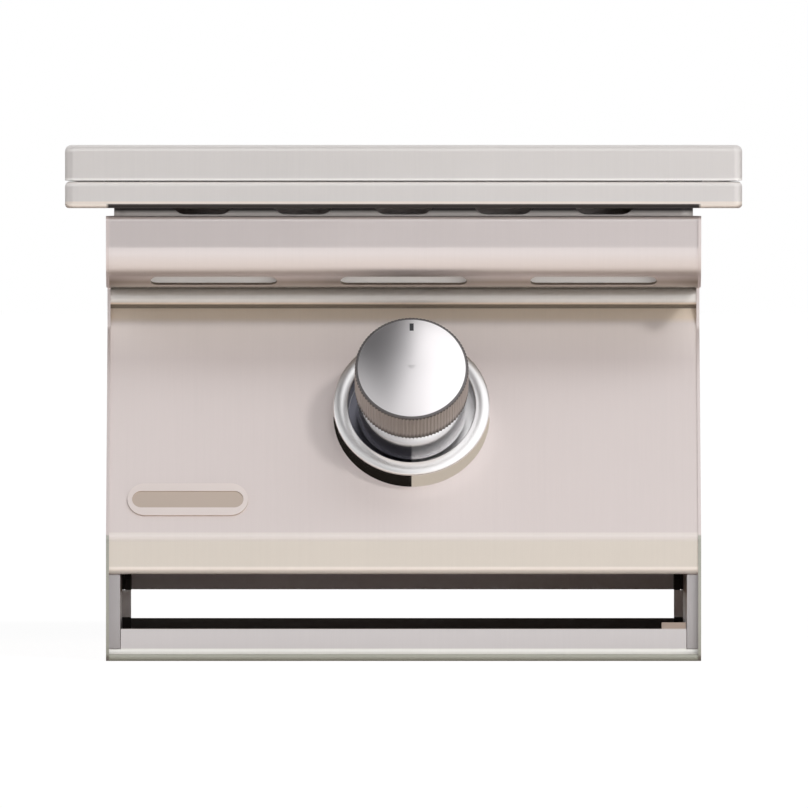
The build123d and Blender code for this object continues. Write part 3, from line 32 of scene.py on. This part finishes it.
# A Mix node's first and second input and its output, for each kind of value
MIX_SOCKETS = {"FLOAT": (2, 3, 0), "VECTOR": (4, 5, 1), "RGBA": (6, 7, 2)}


class Graph:
    """The node tree of a material or a world, with one call per node."""

    def __init__(self, owner):
        owner.use_nodes = True
        self.owner = owner
        self.tree = owner.node_tree
        self.shader = self.tree.nodes.get("Principled BSDF")

    def plug(self, target, key, value):
        """Link a socket to a node's input, or set the input to a fixed value."""
        if isinstance(key, str):
            key = key.replace("_", " ")
        socket = target.inputs[key]
        if isinstance(value, bpy.types.NodeSocket):
            self.tree.links.new(value, socket)
        else:
            socket.default_value = value

    def set(self, **inputs):
        for key, value in inputs.items():
            self.plug(self.shader, key, value)

    def node(self, kind, settings=None, **inputs):
        made = self.tree.nodes.new(kind)
        for key, value in (settings or {}).items():
            setattr(made, key, value)
        for key, value in inputs.items():
            self.plug(made, key, value)
        return made

    def maths(self, operation, a, b=0.0, clamp=False):
        made = self.node("ShaderNodeMath", {"operation": operation, "use_clamp": clamp})
        self.plug(made, 0, a)
        self.plug(made, 1, b)
        return made.outputs[0]

    def vector(self, operation, a, b=None):
        made = self.node("ShaderNodeVectorMath", {"operation": operation})
        self.plug(made, 0, a)
        if b is not None:
            self.plug(made, 1, b)
        return made.outputs["Value" if operation in ("DOT_PRODUCT", "LENGTH") else "Vector"]

    def scaled(self, vector, factor):
        """A vector or colour times a number."""
        made = self.node("ShaderNodeVectorMath", {"operation": "SCALE"}, Scale=factor)
        self.plug(made, 0, vector)
        return made.outputs["Vector"]

    def place(self):
        return self.node("ShaderNodeTexCoord").outputs["Object"]

    def split(self, vector):
        return self.node("ShaderNodeSeparateXYZ", Vector=vector).outputs

    def noise(self, place, scale, detail, rough):
        made = self.node("ShaderNodeTexNoise", Vector=place, Scale=scale, Detail=detail)
        self.plug(made, "Roughness", rough)
        return made.outputs["Fac"]

    def span(self, value, low, high, to_low, to_high, ease="LINEAR"):
        """The value, taken from one range to another and held at its ends."""
        made = self.node("ShaderNodeMapRange", {"interpolation_type": ease}, Value=value)
        self.plug(made, "From Min", low)
        self.plug(made, "From Max", high)
        self.plug(made, "To Min", to_low)
        self.plug(made, "To Max", to_high)
        return made.outputs[0]

    def ramp(self, factor, stops):
        made = self.node("ShaderNodeValToRGB")
        elements = made.color_ramp.elements
        while len(elements) < len(stops):
            elements.new(0.5)
        for element, (at, colour) in zip(elements, stops):
            element.position = at
            element.color = (*colour, 1.0)
        self.plug(made, 0, factor)
        return made.outputs[0]

    def mix(self, kind, factor, first, second):
        first_key, second_key, result = MIX_SOCKETS[kind]
        made = self.node("ShaderNodeMix", {"data_type": kind})
        self.plug(made, 0, factor)
        self.plug(made, first_key, first)
        self.plug(made, second_key, second)
        return made.outputs[result]

    def mix_shaders(self, factor, first, second):
        made = self.node("ShaderNodeMixShader")
        for key, value in enumerate((factor, first, second)):
            self.plug(made, key, value)
        return made.outputs[0]

    def laid_over(self, paint, layers):
        """One colour, with each (mask, tint) laid over it in turn."""
        paint = (*paint, 1.0)
        for mask, tint in layers:
            paint = self.mix("RGBA", mask, paint, (*tint, 1.0))
        return paint

    def bump(self, height, strength, distance):
        made = self.node("ShaderNodeBump", Height=height, Strength=strength, Distance=distance)
        return made.outputs[0]

    def to_world(self, vector):
        made = self.node(
            "ShaderNodeVectorTransform",
            {"vector_type": "VECTOR", "convert_from": "OBJECT", "convert_to": "WORLD"},
        )
        self.plug(made, 0, vector)
        return made.outputs[0]


def new_material(name):
    return Graph(bpy.data.materials.new(name))


# ------------------------------------------------------------------ finishes

# Cells of the grain's noise per metre, across the grain and along it
FINE_GRAIN = (2600.0, 26.0)
BROAD_GRAIN = (420.0, 5.0)
GRAIN_TONE = 0.02
SIDEWAYS = 0.7  # a face whose normal has more than this of X is a side


def brushed(name, colour, rough=0.36, anisotropic=0.85, metallic=0.4, shade_and_tone_zones=()):
    """Brushed stainless steel: upright grain on front and sides, front to back on level faces.

    Each zone is (limits, tint), a part of the surface with a tint laid over it; most zones
    are painted shade and painted highlights. A limit is an axis, the place on it where the
    tone is full and the place where it ends, in metres.
    """
    g = new_material(name)
    coords = g.node("ShaderNodeTexCoord").outputs
    place = coords["Object"]
    parts = g.split(place)
    normal_x = g.split(coords["Normal"])["X"]
    on_side = g.maths("GREATER_THAN", g.maths("ABSOLUTE", normal_x), SIDEWAYS)
    across = g.mix("FLOAT", on_side, parts["X"], parts["Y"])
    along = g.maths("ADD", g.maths("ADD", parts["Y"], parts["Z"]), parts["X"])

    def grain(cells, detail, spread):
        stretched = g.node(
            "ShaderNodeCombineXYZ",
            X=g.maths("MULTIPLY", across, cells[0]),
            Y=g.maths("MULTIPLY", along, cells[1]),
        )
        return g.noise(stretched.outputs[0], 1.0, detail, spread)

    fine = g.maths("MULTIPLY", grain(FINE_GRAIN, 3.0, 0.6), 0.6)
    broad = g.maths("MULTIPLY", grain(BROAD_GRAIN, 2.0, 0.5), 0.4)
    streaks = g.maths("ADD", fine, broad)
    cloud = g.noise(place, 9.0, 3.0, 0.55)
    tone = g.span(streaks, 0.25, 0.75, 1 - GRAIN_TONE, 1 + GRAIN_TONE)
    tone = g.maths("MULTIPLY", tone, g.span(cloud, 0.3, 0.7, 0.985, 1.01))

    def mask(limits):
        cover = 1.0
        for axis, full, end in limits:
            cover = g.maths("MULTIPLY", g.span(parts[axis], full, end, 1.0, 0.0), cover)
        return cover

    paint = tuple(colour)
    # The zones' tints, mostly painted shade and painted highlights, are laid over the steel
    # here
    if shade_and_tone_zones:
        paint = g.laid_over(paint, [(mask(limits), tint) for limits, tint in shade_and_tone_zones])
    tangent = g.mix("VECTOR", on_side, (1.0, 0.0, 0.0), (0.0, 1.0, 0.0))
    g.set(
        Base_Color=g.scaled(paint, tone),
        Metallic=metallic,
        Roughness=g.span(g.maths("ADD", streaks, cloud), 0.6, 1.4, rough - 0.04, rough + 0.04),
        Anisotropic=anisotropic,
        Tangent=g.to_world(tangent),
        Normal=g.bump(streaks, 0.15, 0.00005),
    )
    return g.owner


FINE_TO_CLOUD = 14  # how much finer the bumps are than the clouds


def plain(name, colour, rough, scale=60.0, spread=0.05, depth=0.0001, bump=0.2, metallic=1.0):
    """Metal, iron, plastic or ceramic with a cloudy tone and a fine surface."""
    g = new_material(name)
    place = g.place()
    cloud = g.noise(place, scale, 4.0, 0.6)
    fine = g.noise(place, scale * FINE_TO_CLOUD, 3.0, 0.6)
    g.set(
        Base_Color=g.scaled(tuple(colour), g.span(cloud, 0.3, 0.7, 1 - spread, 1 + spread)),
        Metallic=metallic,
        Roughness=g.span(cloud, 0.3, 0.7, max(rough - 0.04, 0.03), rough + 0.05),
        Normal=g.bump(fine, bump, depth),
    )
    return g.owner


BEZEL_LOW, BEZEL_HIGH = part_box("knob_bezel")
BEZEL_CENTRE = (BEZEL_LOW + BEZEL_HIGH) / 2
CHROME = (0.93, 0.92, 0.925)

# Distances from the knob's axis, and heights along it from the bezel's centre, in metres
GRIP_RADIUS = 0.02755
GRIP_FOOT = 0.0262
GRIP_FOOT_RISE = 0.0045
RIM_HEIGHT = 0.0462
RIM_INNER_RADIUS = 0.0264
BEZEL_WALL_RADIUS = 0.0386
BEZEL_WELL_RADIUS = 0.0312
BEZEL_WELL_EDGE = 0.0320


def knob_place(g):
    """Distance from the knob's axis, direction away from it and height along it."""
    local = g.vector("SUBTRACT", g.place(), tuple(BEZEL_CENTRE))
    height = g.vector("DOT_PRODUCT", local, tuple(AXIS))
    radial = g.vector("SUBTRACT", local, g.scaled(tuple(AXIS), height))
    return g.vector("LENGTH", radial), g.vector("NORMALIZE", radial), height


def turned_face(name, colour, rough):
    """Lathe-turned metal: fine rings about the knob's axis."""
    g = new_material(name)
    radius, outward, _ = knob_place(g)
    rings = g.node("ShaderNodeCombineXYZ", X=g.maths("MULTIPLY", radius, 5200.0))
    ring = g.noise(rings.outputs[0], 1.0, 3.0, 0.6)
    g.set(
        Base_Color=g.scaled(tuple(colour), g.span(ring, 0.25, 0.75, 0.95, 1.05)),
        Metallic=1.0,
        Roughness=rough,
        Anisotropic=0.35,
        Tangent=g.to_world(outward),
        Normal=g.bump(ring, 0.03, 0.00002),
    )
    return g.owner


def knob_metal():
    """Chrome skirt, with a greyer grip above it, painted shade at the grip's foot and a dark
    rim round the cap.
    """
    g = new_material("knob_metal")
    radius, _, height = knob_place(g)
    on_grip = g.span(radius, GRIP_RADIUS, GRIP_RADIUS + 0.0001, 0.0, 1.0)
    above_grip = g.span(height, RIM_HEIGHT, RIM_HEIGHT + 0.0003, 0.0, 1.0)
    round_cap = g.span(radius, RIM_INNER_RADIUS, RIM_INNER_RADIUS + 0.0002, 0.0, 1.0)
    on_rim = g.maths("MULTIPLY", above_grip, round_cap)
    # Painted shade, darkening the grip towards its foot
    low = g.span(height, GRIP_FOOT, GRIP_FOOT + GRIP_FOOT_RISE, 1.0, 0.0)
    paint = g.laid_over(CHROME, [
        (on_grip, (0.50, 0.455, 0.425)),
        (g.maths("MULTIPLY", on_grip, low), (0.07, 0.06, 0.05)),
        (on_rim, (0.17, 0.16, 0.16)),
    ])
    g.set(
        Base_Color=paint,
        Metallic=1.0,
        Roughness=g.span(g.maths("MAXIMUM", on_grip, on_rim), 0.0, 1.0, 0.13, 0.46),
    )
    return g.owner


def bezel_metal():
    """Chrome: satin on the face, brighter on the outer wall, with painted shade in the well's
    left half.
    """
    g = new_material("bezel_metal")
    radius, _, _ = knob_place(g)
    on_wall = g.span(radius, BEZEL_WALL_RADIUS, BEZEL_WALL_RADIUS + 0.0003, 0.0, 1.0)
    in_well = g.span(radius, BEZEL_WELL_RADIUS, BEZEL_WELL_EDGE, 1.0, 0.0)
    middle = BEZEL_CENTRE.x
    at_left = g.span(g.split(g.place())["X"], middle - 0.0005, middle + 0.0005, 1.0, 0.0)
    shade = g.maths("MULTIPLY", in_well, at_left)
    g.set(
        Base_Color=g.laid_over(CHROME, [(shade, (0.22, 0.22, 0.26))]),
        Metallic=1.0,
        Roughness=g.span(on_wall, 0.0, 1.0, 0.36, 0.14),
    )
    return g.owner


def badge_metal():
    """Bare plate: pale raised rim round a darker field."""
    g = new_material("badge_metal")
    low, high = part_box("nameplate")
    place = g.place()
    local = g.vector("SUBTRACT", place, tuple((low + high) / 2))
    height = g.vector("DOT_PRODUCT", local, tuple(AXIS))
    in_field = g.span(height, 0.00035, 0.00045, 1.0, 0.0)
    g.set(
        Base_Color=g.laid_over((0.86, 0.77, 0.74), [(in_field, (0.60, 0.50, 0.43))]),
        Metallic=0.5,
        Roughness=g.span(g.noise(place, 200.0, 4.0, 0.6), 0.3, 0.7, 0.32, 0.40),
    )
    return g.owner


# ------------------------------------------------------------------ looks of the pieces

STEEL = (0.78, 0.70, 0.685)
LID_STEEL = (0.77, 0.735, 0.72)
# Painted light, for the edges either side of the lid's seam
PAINTED_LIGHT = (0.99, 0.96, 0.94)
# Painted light, for the rear posts at the slot's height
PAINTED_LIGHT_REAR = (0.99, 0.96, 0.97)
EDGE = (0.47, 0.47, 0.42)
# Painted shade, for the hem's foot, the neck's gap and the rear posts and wall
PAINTED_SHADE = (0.035, 0.03, 0.03)

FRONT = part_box("lid_shell")[0].y
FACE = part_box("front_rail")[0].y
LID_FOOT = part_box("lid_shell")[0].z
TRIM_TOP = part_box("top_trim")[1].z
NOSE_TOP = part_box("bullnose")[1].z
TRIM_HEM = NOSE_TOP + 0.0045

# Limits of the zones, as brushed takes them
NOSE_FACE = ("Z", 0.2070, 0.2052)
NOSE_UNDERSIDE_SHADE = ("Z", 0.1885, 0.1925)
NOSE_FOOT_SHADE = ("Z", 0.1853, 0.1868)

PANEL_BAND_REFLECTION = ("Z", 0.059, 0.0625)
BAND_CREASE_HIGHLIGHT = [("Z", 0.0622, 0.0616), ("Z", 0.0636, 0.0642)]
PANEL_LIP_HIGHLIGHT = ("Z", 0.0464, 0.0472)
PANEL_UPPER_PAINTED_LIGHT = ("Z", 0.1660, 0.1500)
PANEL_TOP_PAINTED_LIGHT = ("Z", 0.1705, 0.1675)
PANEL_BEAD_HIGHLIGHT = ("Z", 0.1783, 0.1777)
SHADE_UNDER_BEAD = [("Z", 0.1753, 0.1749), ("Z", 0.1769, 0.1774)]

AT_FRONT = ("Y", FRONT + 0.003, FRONT + 0.004)
LID_EDGE_LIT = ("Z", LID_FOOT + 0.0008, LID_FOOT + 0.0016)
TRIM_EDGE_LIT = ("Z", TRIM_TOP - 0.0008, TRIM_TOP - 0.0016)
HEM_HIGHLIGHT = ("Z", TRIM_HEM + 0.0024, TRIM_HEM + 0.0030)
HEM_FOOT_SHADE = ("Z", TRIM_HEM + 0.0012, TRIM_HEM + 0.0017)
ABOVE_BODY = [("X", -0.1465, -0.1480), ("X", 0.1465, 0.1480)]

WINDOW_POST_SHADE = [("Y", FACE + 0.008, FACE + 0.010), ("Z", 0.0425, 0.0435)]
WALL_FRONT_EDGE = [("Y", FACE - 0.0003, FACE + 0.0001), ("Z", 0.186, 0.189)]
REAR_POST = [("Y", 0.16, 0.15), ("X", 0.1463, 0.1467), ("X", -0.1463, -0.1467)]
REAR_SLOT_LIT = [("Z", 0.0255, 0.0258), ("Z", 0.0117, 0.0114)]

NECK_GAP_SHADE = [("Z", NOSE_TOP + 0.0030, NOSE_TOP + 0.0012), ("Y", FACE + 0.03, FACE + 0.04)]
NECK_FOOT_LIT = ("Z", 0.210, 0.212)

RAIL_LOWER_HIGHLIGHT = ("Z", 0.0060, 0.0062)
RAIL_FOOT = ("Z", 0.0031, 0.0037)
RAIL_TOP_EDGE = ("Z", 0.0162, 0.0156)

REAR_WALL_LEFT_SHADE = ("X", -0.1418, -0.1414)
REAR_WALL_RIGHT_SHADE = ("X", 0.1418, 0.1414)

steel = brushed("steel_front", STEEL)
# The nose's paler base is a painted highlight on its bends; its face has the ordinary steel
# tone, and brown underneath and dark at its foot are painted shade
steel_nose = brushed(
    "steel_nose", (0.84, 0.77, 0.76), metallic=0.85,
    shade_and_tone_zones=[
        ([NOSE_FACE], (0.77, 0.70, 0.69)),
        ([NOSE_UNDERSIDE_SHADE], (0.38, 0.322, 0.268)),
        ([NOSE_FOOT_SHADE], (0.20, 0.175, 0.15)),
    ],
)
# Tints on the panel are painted light: a warm painted reflection on the lower band, painted
# highlights on the band's crease, the lip and the bead, painted light on the upper slope and
# top rows under the nose, and painted shade in the fold under the bead
steel_panel = brushed(
    "steel_panel", STEEL, rough=0.42, anisotropic=0.8, metallic=0.35,
    shade_and_tone_zones=[
        ([PANEL_BAND_REFLECTION], (0.79, 0.72, 0.645)),
        (BAND_CREASE_HIGHLIGHT, (0.86, 0.79, 0.755)),
        ([PANEL_LIP_HIGHLIGHT], (0.98, 0.89, 0.82)),
        ([PANEL_UPPER_PAINTED_LIGHT], (0.95, 0.865, 0.835)),
        ([PANEL_TOP_PAINTED_LIGHT], (0.98, 0.85, 0.72)),
        ([PANEL_BEAD_HIGHLIGHT], (0.99, 0.95, 0.91)),
        (SHADE_UNDER_BEAD, (0.30, 0.25, 0.20)),
    ],
)
# Painted light on the lid's lower front edge, lightening the seam
steel_lid = brushed("steel_lid", LID_STEEL, shade_and_tone_zones=[([LID_EDGE_LIT, AT_FRONT], PAINTED_LIGHT)])
# Painted light on the trim's top front edge, lightening the seam, a painted highlight on its
# hem and painted shade under the hem over the body
steel_trim = brushed(
    "steel_trim", LID_STEEL,
    shade_and_tone_zones=[
        ([TRIM_EDGE_LIT, AT_FRONT], PAINTED_LIGHT),
        ([HEM_HIGHLIGHT, AT_FRONT], (0.92, 0.83, 0.76)),
        ([HEM_FOOT_SHADE, AT_FRONT, *ABOVE_BODY], PAINTED_SHADE),
    ],
)
# Painted shade on the window posts and the rear posts, and painted light on the rear posts at
# the slot's height
steel_wall = brushed(
    "steel_wall", STEEL, anisotropic=0.5, metallic=0.7,
    shade_and_tone_zones=[
        (WINDOW_POST_SHADE, (0.50, 0.48, 0.49)),
        (WALL_FRONT_EDGE, EDGE),
        (REAR_POST, PAINTED_SHADE),
        ([*REAR_POST, *REAR_SLOT_LIT], PAINTED_LIGHT_REAR),
    ],
)
# Painted shade on the neck's front under the trim, and painted light at its foot
steel_neck = brushed(
    "steel_neck", (0.66, 0.62, 0.60),
    shade_and_tone_zones=[(NECK_GAP_SHADE, PAINTED_SHADE), ([NECK_FOOT_LIT], (0.95, 0.91, 0.87))],
)
# A painted highlight on the rail's lower part; below it the foot is darker and greenish, and
# the top edge brown
steel_rail = brushed(
    "steel_rail", (0.70, 0.67, 0.68),
    shade_and_tone_zones=[
        ([RAIL_LOWER_HIGHLIGHT], (0.90, 0.89, 0.85)),
        ([RAIL_FOOT], (0.44, 0.44, 0.38)),
        ([RAIL_TOP_EDGE], (0.42, 0.33, 0.28)),
    ],
)
# The rear wall's near-white base is painted light, and its outer strips painted shade
steel_inside_painted_light = brushed(
    "steel_inside_painted_light", (0.92, 0.89, 0.93), rough=0.5, metallic=0.5,
    shade_and_tone_zones=[([REAR_WALL_LEFT_SHADE], PAINTED_SHADE), ([REAR_WALL_RIGHT_SHADE], PAINTED_SHADE)],
)
# The rear rail's near-black steel is painted shade
steel_back_painted_shade = brushed("steel_back_painted_shade", (0.16, 0.15, 0.145), rough=0.5)
knob_steel = knob_metal()
bezel = bezel_metal()
badge = badge_metal()
cap = turned_face("turned_cap", (0.86, 0.83, 0.84), 0.28)
zinc = plain("zinc", (0.62, 0.62, 0.62), 0.35)
brass = plain("brass", (0.76, 0.56, 0.28), 0.32)
aluminium = plain("alu", (0.72, 0.72, 0.72), 0.38)
bar = plain("bar", (0.55, 0.52, 0.50), 0.36, scale=70.0, spread=0.04)
iron = plain(
    "iron", (0.035, 0.034, 0.033), 0.62,
    scale=120.0, spread=0.2, depth=0.0004, bump=0.5, metallic=0.0,
)
dark = plain(
    "dark", (0.03, 0.03, 0.035), 0.45, scale=90.0, spread=0.1, depth=0.0002, metallic=0.0,
)
ceramic = plain(
    "ceramic", (0.82, 0.80, 0.74), 0.22,
    scale=50.0, spread=0.03, depth=0.00005, bump=0.1, metallic=0.0,
)
red = plain("lead", (0.30, 0.05, 0.035), 0.5, scale=90.0, bump=0.1, metallic=0.0)

LOOKS = {
    "side_wall_left": steel_wall, "side_wall_right": steel_wall,
    "front_rail": steel_rail, "rear_rail": steel_back_painted_shade, "rear_wall": steel_inside_painted_light,
    "neck_collar": steel_neck, "top_trim": steel_trim, "bullnose": steel_nose,
    "control_panel": steel_panel, "panel_screws": zinc, "nameplate": badge,
    "heat_shield": aluminium, "knob_bezel": bezel, "bezel_screws": zinc,
    "knob_body": knob_steel, "knob_cap": cap, "knob_pointer": dark,
    "valve_stem": zinc, "valve_plug": brass, "valve_spring": zinc,
    "valve_bonnet": brass, "valve_body": brass, "orifice_hood": brass,
    "gas_manifold": aluminium, "inlet_fitting": brass, "inlet_locknut": brass,
    "venturi_tube": aluminium, "air_shutter": zinc, "shutter_screw": zinc,
    "burner_bowl": steel, "burner_base": iron, "burner_nut": zinc,
    "burner_ring": brass, "burner_cap": iron, "grate_frame": bar, "grate_bars": bar,
    "igniter_module": dark, "igniter_lead": red, "electrode_insulator": ceramic,
    "electrode_bracket": zinc, "electrode_rod": zinc,
    "lid_shell": steel_lid, "lid_liner": steel, "lid_bumpers": dark, "lid_rivets": zinc,
    "hinge_leaves_fixed": steel, "hinge_leaves_lid": steel, "hinge_pins": zinc,
    "hinge_rivets": zinc,
}
for name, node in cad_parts.items():
    node.data.materials.clear()
    node.data.materials.append(LOOKS[name])

# ------------------------------------------------------------------ world and floor

WHITE = (1.0, 1.0, 1.0, 1.0)
BLACK = (0.0, 0.0, 0.0, 1.0)


def direction(azimuth, elevation):
    """Unit vector; azimuth to the right of the front, both in degrees."""
    a, e = math.radians(azimuth), math.radians(elevation)
    return Vector((math.sin(a) * math.cos(e), -math.cos(a) * math.cos(e), math.sin(e)))


def light_world():
    """White to camera, glossy and transmission rays; to others soft, and stronger in front."""
    world = bpy.data.worlds.new("studio")
    bpy.context.scene.world = world
    g = Graph(world)
    g.tree.nodes.clear()
    path = g.node("ShaderNodeLightPath").outputs
    seen = path["Is Camera Ray"]
    for other in ("Is Glossy Ray", "Is Transmission Ray"):
        seen = g.maths("MAXIMUM", seen, path[other])
    sight = g.node("ShaderNodeTexCoord").outputs["Generated"]
    ahead = g.vector("DOT_PRODUCT", sight, direction(0, 3))
    strength = g.span(ahead, 0.62, 1.0, 0.20, 2.1, ease="SMOOTHSTEP")
    light = g.node("ShaderNodeBackground", Color=WHITE, Strength=strength)
    backdrop = g.node("ShaderNodeBackground", Color=WHITE, Strength=1.0)
    surface = g.mix_shaders(seen, light.outputs[0], backdrop.outputs[0])
    g.node("ShaderNodeOutputWorld", Surface=surface)


def stage_mesh(name, vertices, faces, material, only_mirrored=False):
    mesh = bpy.data.meshes.new(name)
    mesh.from_pydata(vertices, [], faces)
    mesh.materials.append(material)
    made = bpy.data.objects.new(name, mesh)
    bpy.context.scene.collection.objects.link(made)
    if only_mirrored:
        made.visible_camera = False
        made.visible_shadow = False
        made.visible_diffuse = False


FLOOR_HALF = 30.0
FLOOR_HEIGHT = -0.0002
# What metal sees on the floor, over half a metre in front of the object: brown near its foot, a
# painted shade, paling to white further out
FLOOR_SHADE_IN_METAL = [
    (0.0, (0.14, 0.10, 0.07)),
    (0.08, (0.28, 0.22, 0.17)),
    (0.17, (0.95, 0.88, 0.81)),
    (1.0, (1.0, 0.985, 0.97)),
]


def lay_floor():
    """White to the camera but for the object's shadow; to metal browner near its foot, a
    painted shade.
    """
    g = new_material("floor")
    g.set(Base_Color=(0.80, 0.78, 0.76, 1.0), Roughness=0.85)
    ahead = g.maths("SUBTRACT", FACE, g.split(g.place())["Y"])
    tint = g.ramp(g.span(ahead, 0.0, 0.5, 0.0, 1.0), FLOOR_SHADE_IN_METAL)
    mirrored = g.node("ShaderNodeEmission", Color=tint, Strength=1.0)
    shaded = g.node("ShaderNodeBsdfDiffuse", Color=(0.3, 0.3, 0.3, 1.0))
    glow = g.node("ShaderNodeEmission", Color=WHITE, Strength=0.89)
    look = g.node("ShaderNodeAddShader")
    g.plug(look, 0, shaded.outputs[0])
    g.plug(look, 1, glow.outputs[0])
    path = g.node("ShaderNodeLightPath").outputs
    unseen = g.mix_shaders(path["Is Glossy Ray"], g.shader.outputs[0], mirrored.outputs[0])
    surface = g.mix_shaders(path["Is Camera Ray"], unseen, look.outputs[0])
    g.plug(g.tree.nodes["Material Output"], "Surface", surface)
    corners = [(-1, -1), (1, -1), (1, 1), (-1, 1)]
    points = [(FLOOR_HALF * x, FLOOR_HALF * y, FLOOR_HEIGHT) for x, y in corners]
    stage_mesh("floor", points, [(0, 1, 2, 3)], g.owner)


light_world()
lay_floor()

# ------------------------------------------------------------------ cards that metal mirrors

TARGET = Vector((0, -0.2, 0.15))
CARD_STEPS = 16
FAR_LEFT_SLOPE = 1.7
FAR_LEFT_START = 1.35


def card(name, azimuths, elevations, tone, soft=(0.5, 0.5), distance=2.6, glow=0.0, slope=None):
    """Curved card round the target, with a soft edge to its left and right, in degrees.

    With a slope, (x, z, z0), its cover grows upwards and to the left, and less again far left.
    """
    g = new_material(name)
    offset = g.vector("SUBTRACT", g.place(), tuple(TARGET))
    away = g.split(offset)
    angle = g.maths("ARCTAN2", away["X"], g.maths("MULTIPLY", away["Y"], -1.0))
    low, high = (math.radians(value) for value in azimuths)
    rise = g.span(angle, low, low + math.radians(soft[0]), 0.0, 1.0)
    fall = g.span(angle, high, high - math.radians(soft[1]), 0.0, 1.0)
    cover = g.maths("MULTIPLY", rise, fall)
    if slope:
        unit = g.split(g.vector("NORMALIZE", offset))
        near = g.maths("MULTIPLY", unit["X"], slope[0])
        far = g.maths("ADD", g.maths("MULTIPLY", unit["X"], FAR_LEFT_SLOPE), FAR_LEFT_START)
        left = g.maths("MINIMUM", near, far)
        up = g.maths("MULTIPLY", g.maths("SUBTRACT", unit["Z"], slope[2]), slope[1])
        cover = g.maths("ADD", left, up, clamp=True)
    g.set(Base_Color=(*tone, 1.0), Roughness=0.9, Alpha=cover)
    if glow:
        g.set(Base_Color=BLACK, Emission_Color=(*tone, 1.0), Emission_Strength=glow)

    def between(limits, step):
        return limits[0] + (limits[1] - limits[0]) * step / CARD_STEPS

    stops = range(CARD_STEPS + 1)
    points = [
        TARGET + distance * direction(between(azimuths, i), between(elevations, j))
        for j in stops
        for i in stops
    ]
    row = CARD_STEPS + 1
    faces = [
        (j * row + i, j * row + i + 1, (j + 1) * row + i + 1, (j + 1) * row + i)
        for j in range(CARD_STEPS)
        for i in range(CARD_STEPS)
    ]
    stage_mesh(name, points, faces, g.owner, only_mirrored=True)


SHADE_STEPS = 24
SHADE_INNER_RADIUS = 0.0391
SHADE_WIDTH = 0.010
SHADE_LEAST_WIDTH = 0.0005
SHADE_DEPTH = 0.0066  # from the bezel's centre, just clear of the panel


def bezel_shade(name, side, tone):
    """Half-moon card that the outer wall of the bezel mirrors, below it and to one side: a
    painted reflection.

    It is one-sided: rays that meet it from the panel behind pass through.
    """
    g = new_material(name)
    behind = g.node("ShaderNodeNewGeometry").outputs["Backfacing"]
    g.set(
        Base_Color=BLACK,
        Emission_Color=(*tone, 1.0),
        Emission_Strength=1.0,
        Specular_IOR_Level=0.0,
        Alpha=g.maths("SUBTRACT", 1.0, behind),
    )
    centre = BEZEL_CENTRE - AXIS * SHADE_DEPTH
    down = Vector((0.0, -math.sin(TILT), -math.cos(TILT)))
    points = []
    for i in range(SHADE_STEPS + 1):
        turn = math.radians(90.0 * i / SHADE_STEPS)
        outward = down * math.cos(turn) + Vector((side, 0, 0)) * math.sin(turn)
        width = SHADE_LEAST_WIDTH + SHADE_WIDTH * math.sqrt(max(math.cos(turn), 0.0))
        points.append(centre + outward * SHADE_INNER_RADIUS)
        points.append(centre + outward * (SHADE_INNER_RADIUS + width))
    faces = [(2 * i, 2 * i + 2, 2 * i + 3, 2 * i + 1)[::-side] for i in range(SHADE_STEPS)]
    stage_mesh(name, points, faces, g.owner, only_mirrored=True)


card("low_flag", (-62, -0.4), (-10, 15), (0.05, 0.045, 0.05), soft=(6, 0.3))
card("high_flag", (-80, 24), (20, 88), (0.02, 0.02, 0.03), slope=(-4.6, 2.0, 0.68))
card("right_card", (2, 66), (-4, 76), (1, 1, 1), soft=(12, 14), distance=2.5, glow=1.35)
bezel_shade("bezel_shade_left", -1, (0.012, 0.010, 0.008))
bezel_shade("bezel_shade_right", 1, (0.55, 0.48, 0.40))

# ------------------------------------------------------------------ key lamp

sun_data = bpy.data.lights.new("key", "SUN")
sun_data.energy = 0.95
sun_data.angle = math.radians(6.0)
sun_data.color = (1.0, 0.985, 0.965)
sun = bpy.data.objects.new("key", sun_data)
sun.rotation_euler = (-direction(27, 27)).to_track_quat("-Z", "Y").to_euler()
sun.visible_glossy = False
# The pieces that overhang the panel throw no shadow on it
overhang = bpy.data.collections.new("overhang")
for name in ("bullnose", "top_trim", "lid_shell"):
    overhang.objects.link(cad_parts[name])
for entry in overhang.collection_objects:
    entry.light_linking.link_state = "EXCLUDE"
sun.light_linking.blocker_collection = overhang
bpy.context.scene.collection.objects.link(sun)

# ------------------------------------------------------------------ camera

PICTURE_WIDTH = 808.0
PIXELS_PER_METRE = 2013.0
SENSOR_WIDTH = 36.0
REACH = 9.3  # from the front of the lid
EYE = 0.2255
MIDDLE = 0.1279
CAMERA_X = -0.011
SHIFT = 0.0112  # sideways, in metres at the front of the lid
lens = bpy.data.cameras.new("camera")
lens.sensor_fit = "HORIZONTAL"
lens.sensor_width = SENSOR_WIDTH
lens.lens = SENSOR_WIDTH * REACH * PIXELS_PER_METRE / PICTURE_WIDTH
lens.shift_x = SHIFT * PIXELS_PER_METRE / PICTURE_WIDTH
lens.clip_end = 100.0
camera = bpy.data.objects.new("camera", lens)
camera.location = (CAMERA_X, FRONT - REACH, EYE)
camera.rotation_euler = (math.radians(90) - math.atan2(EYE - MIDDLE, REACH), 0, 0)
bpy.context.scene.collection.objects.link(camera)
bpy.context.scene.camera = camera

bpy.context.scene.view_settings.view_transform = "Standard"
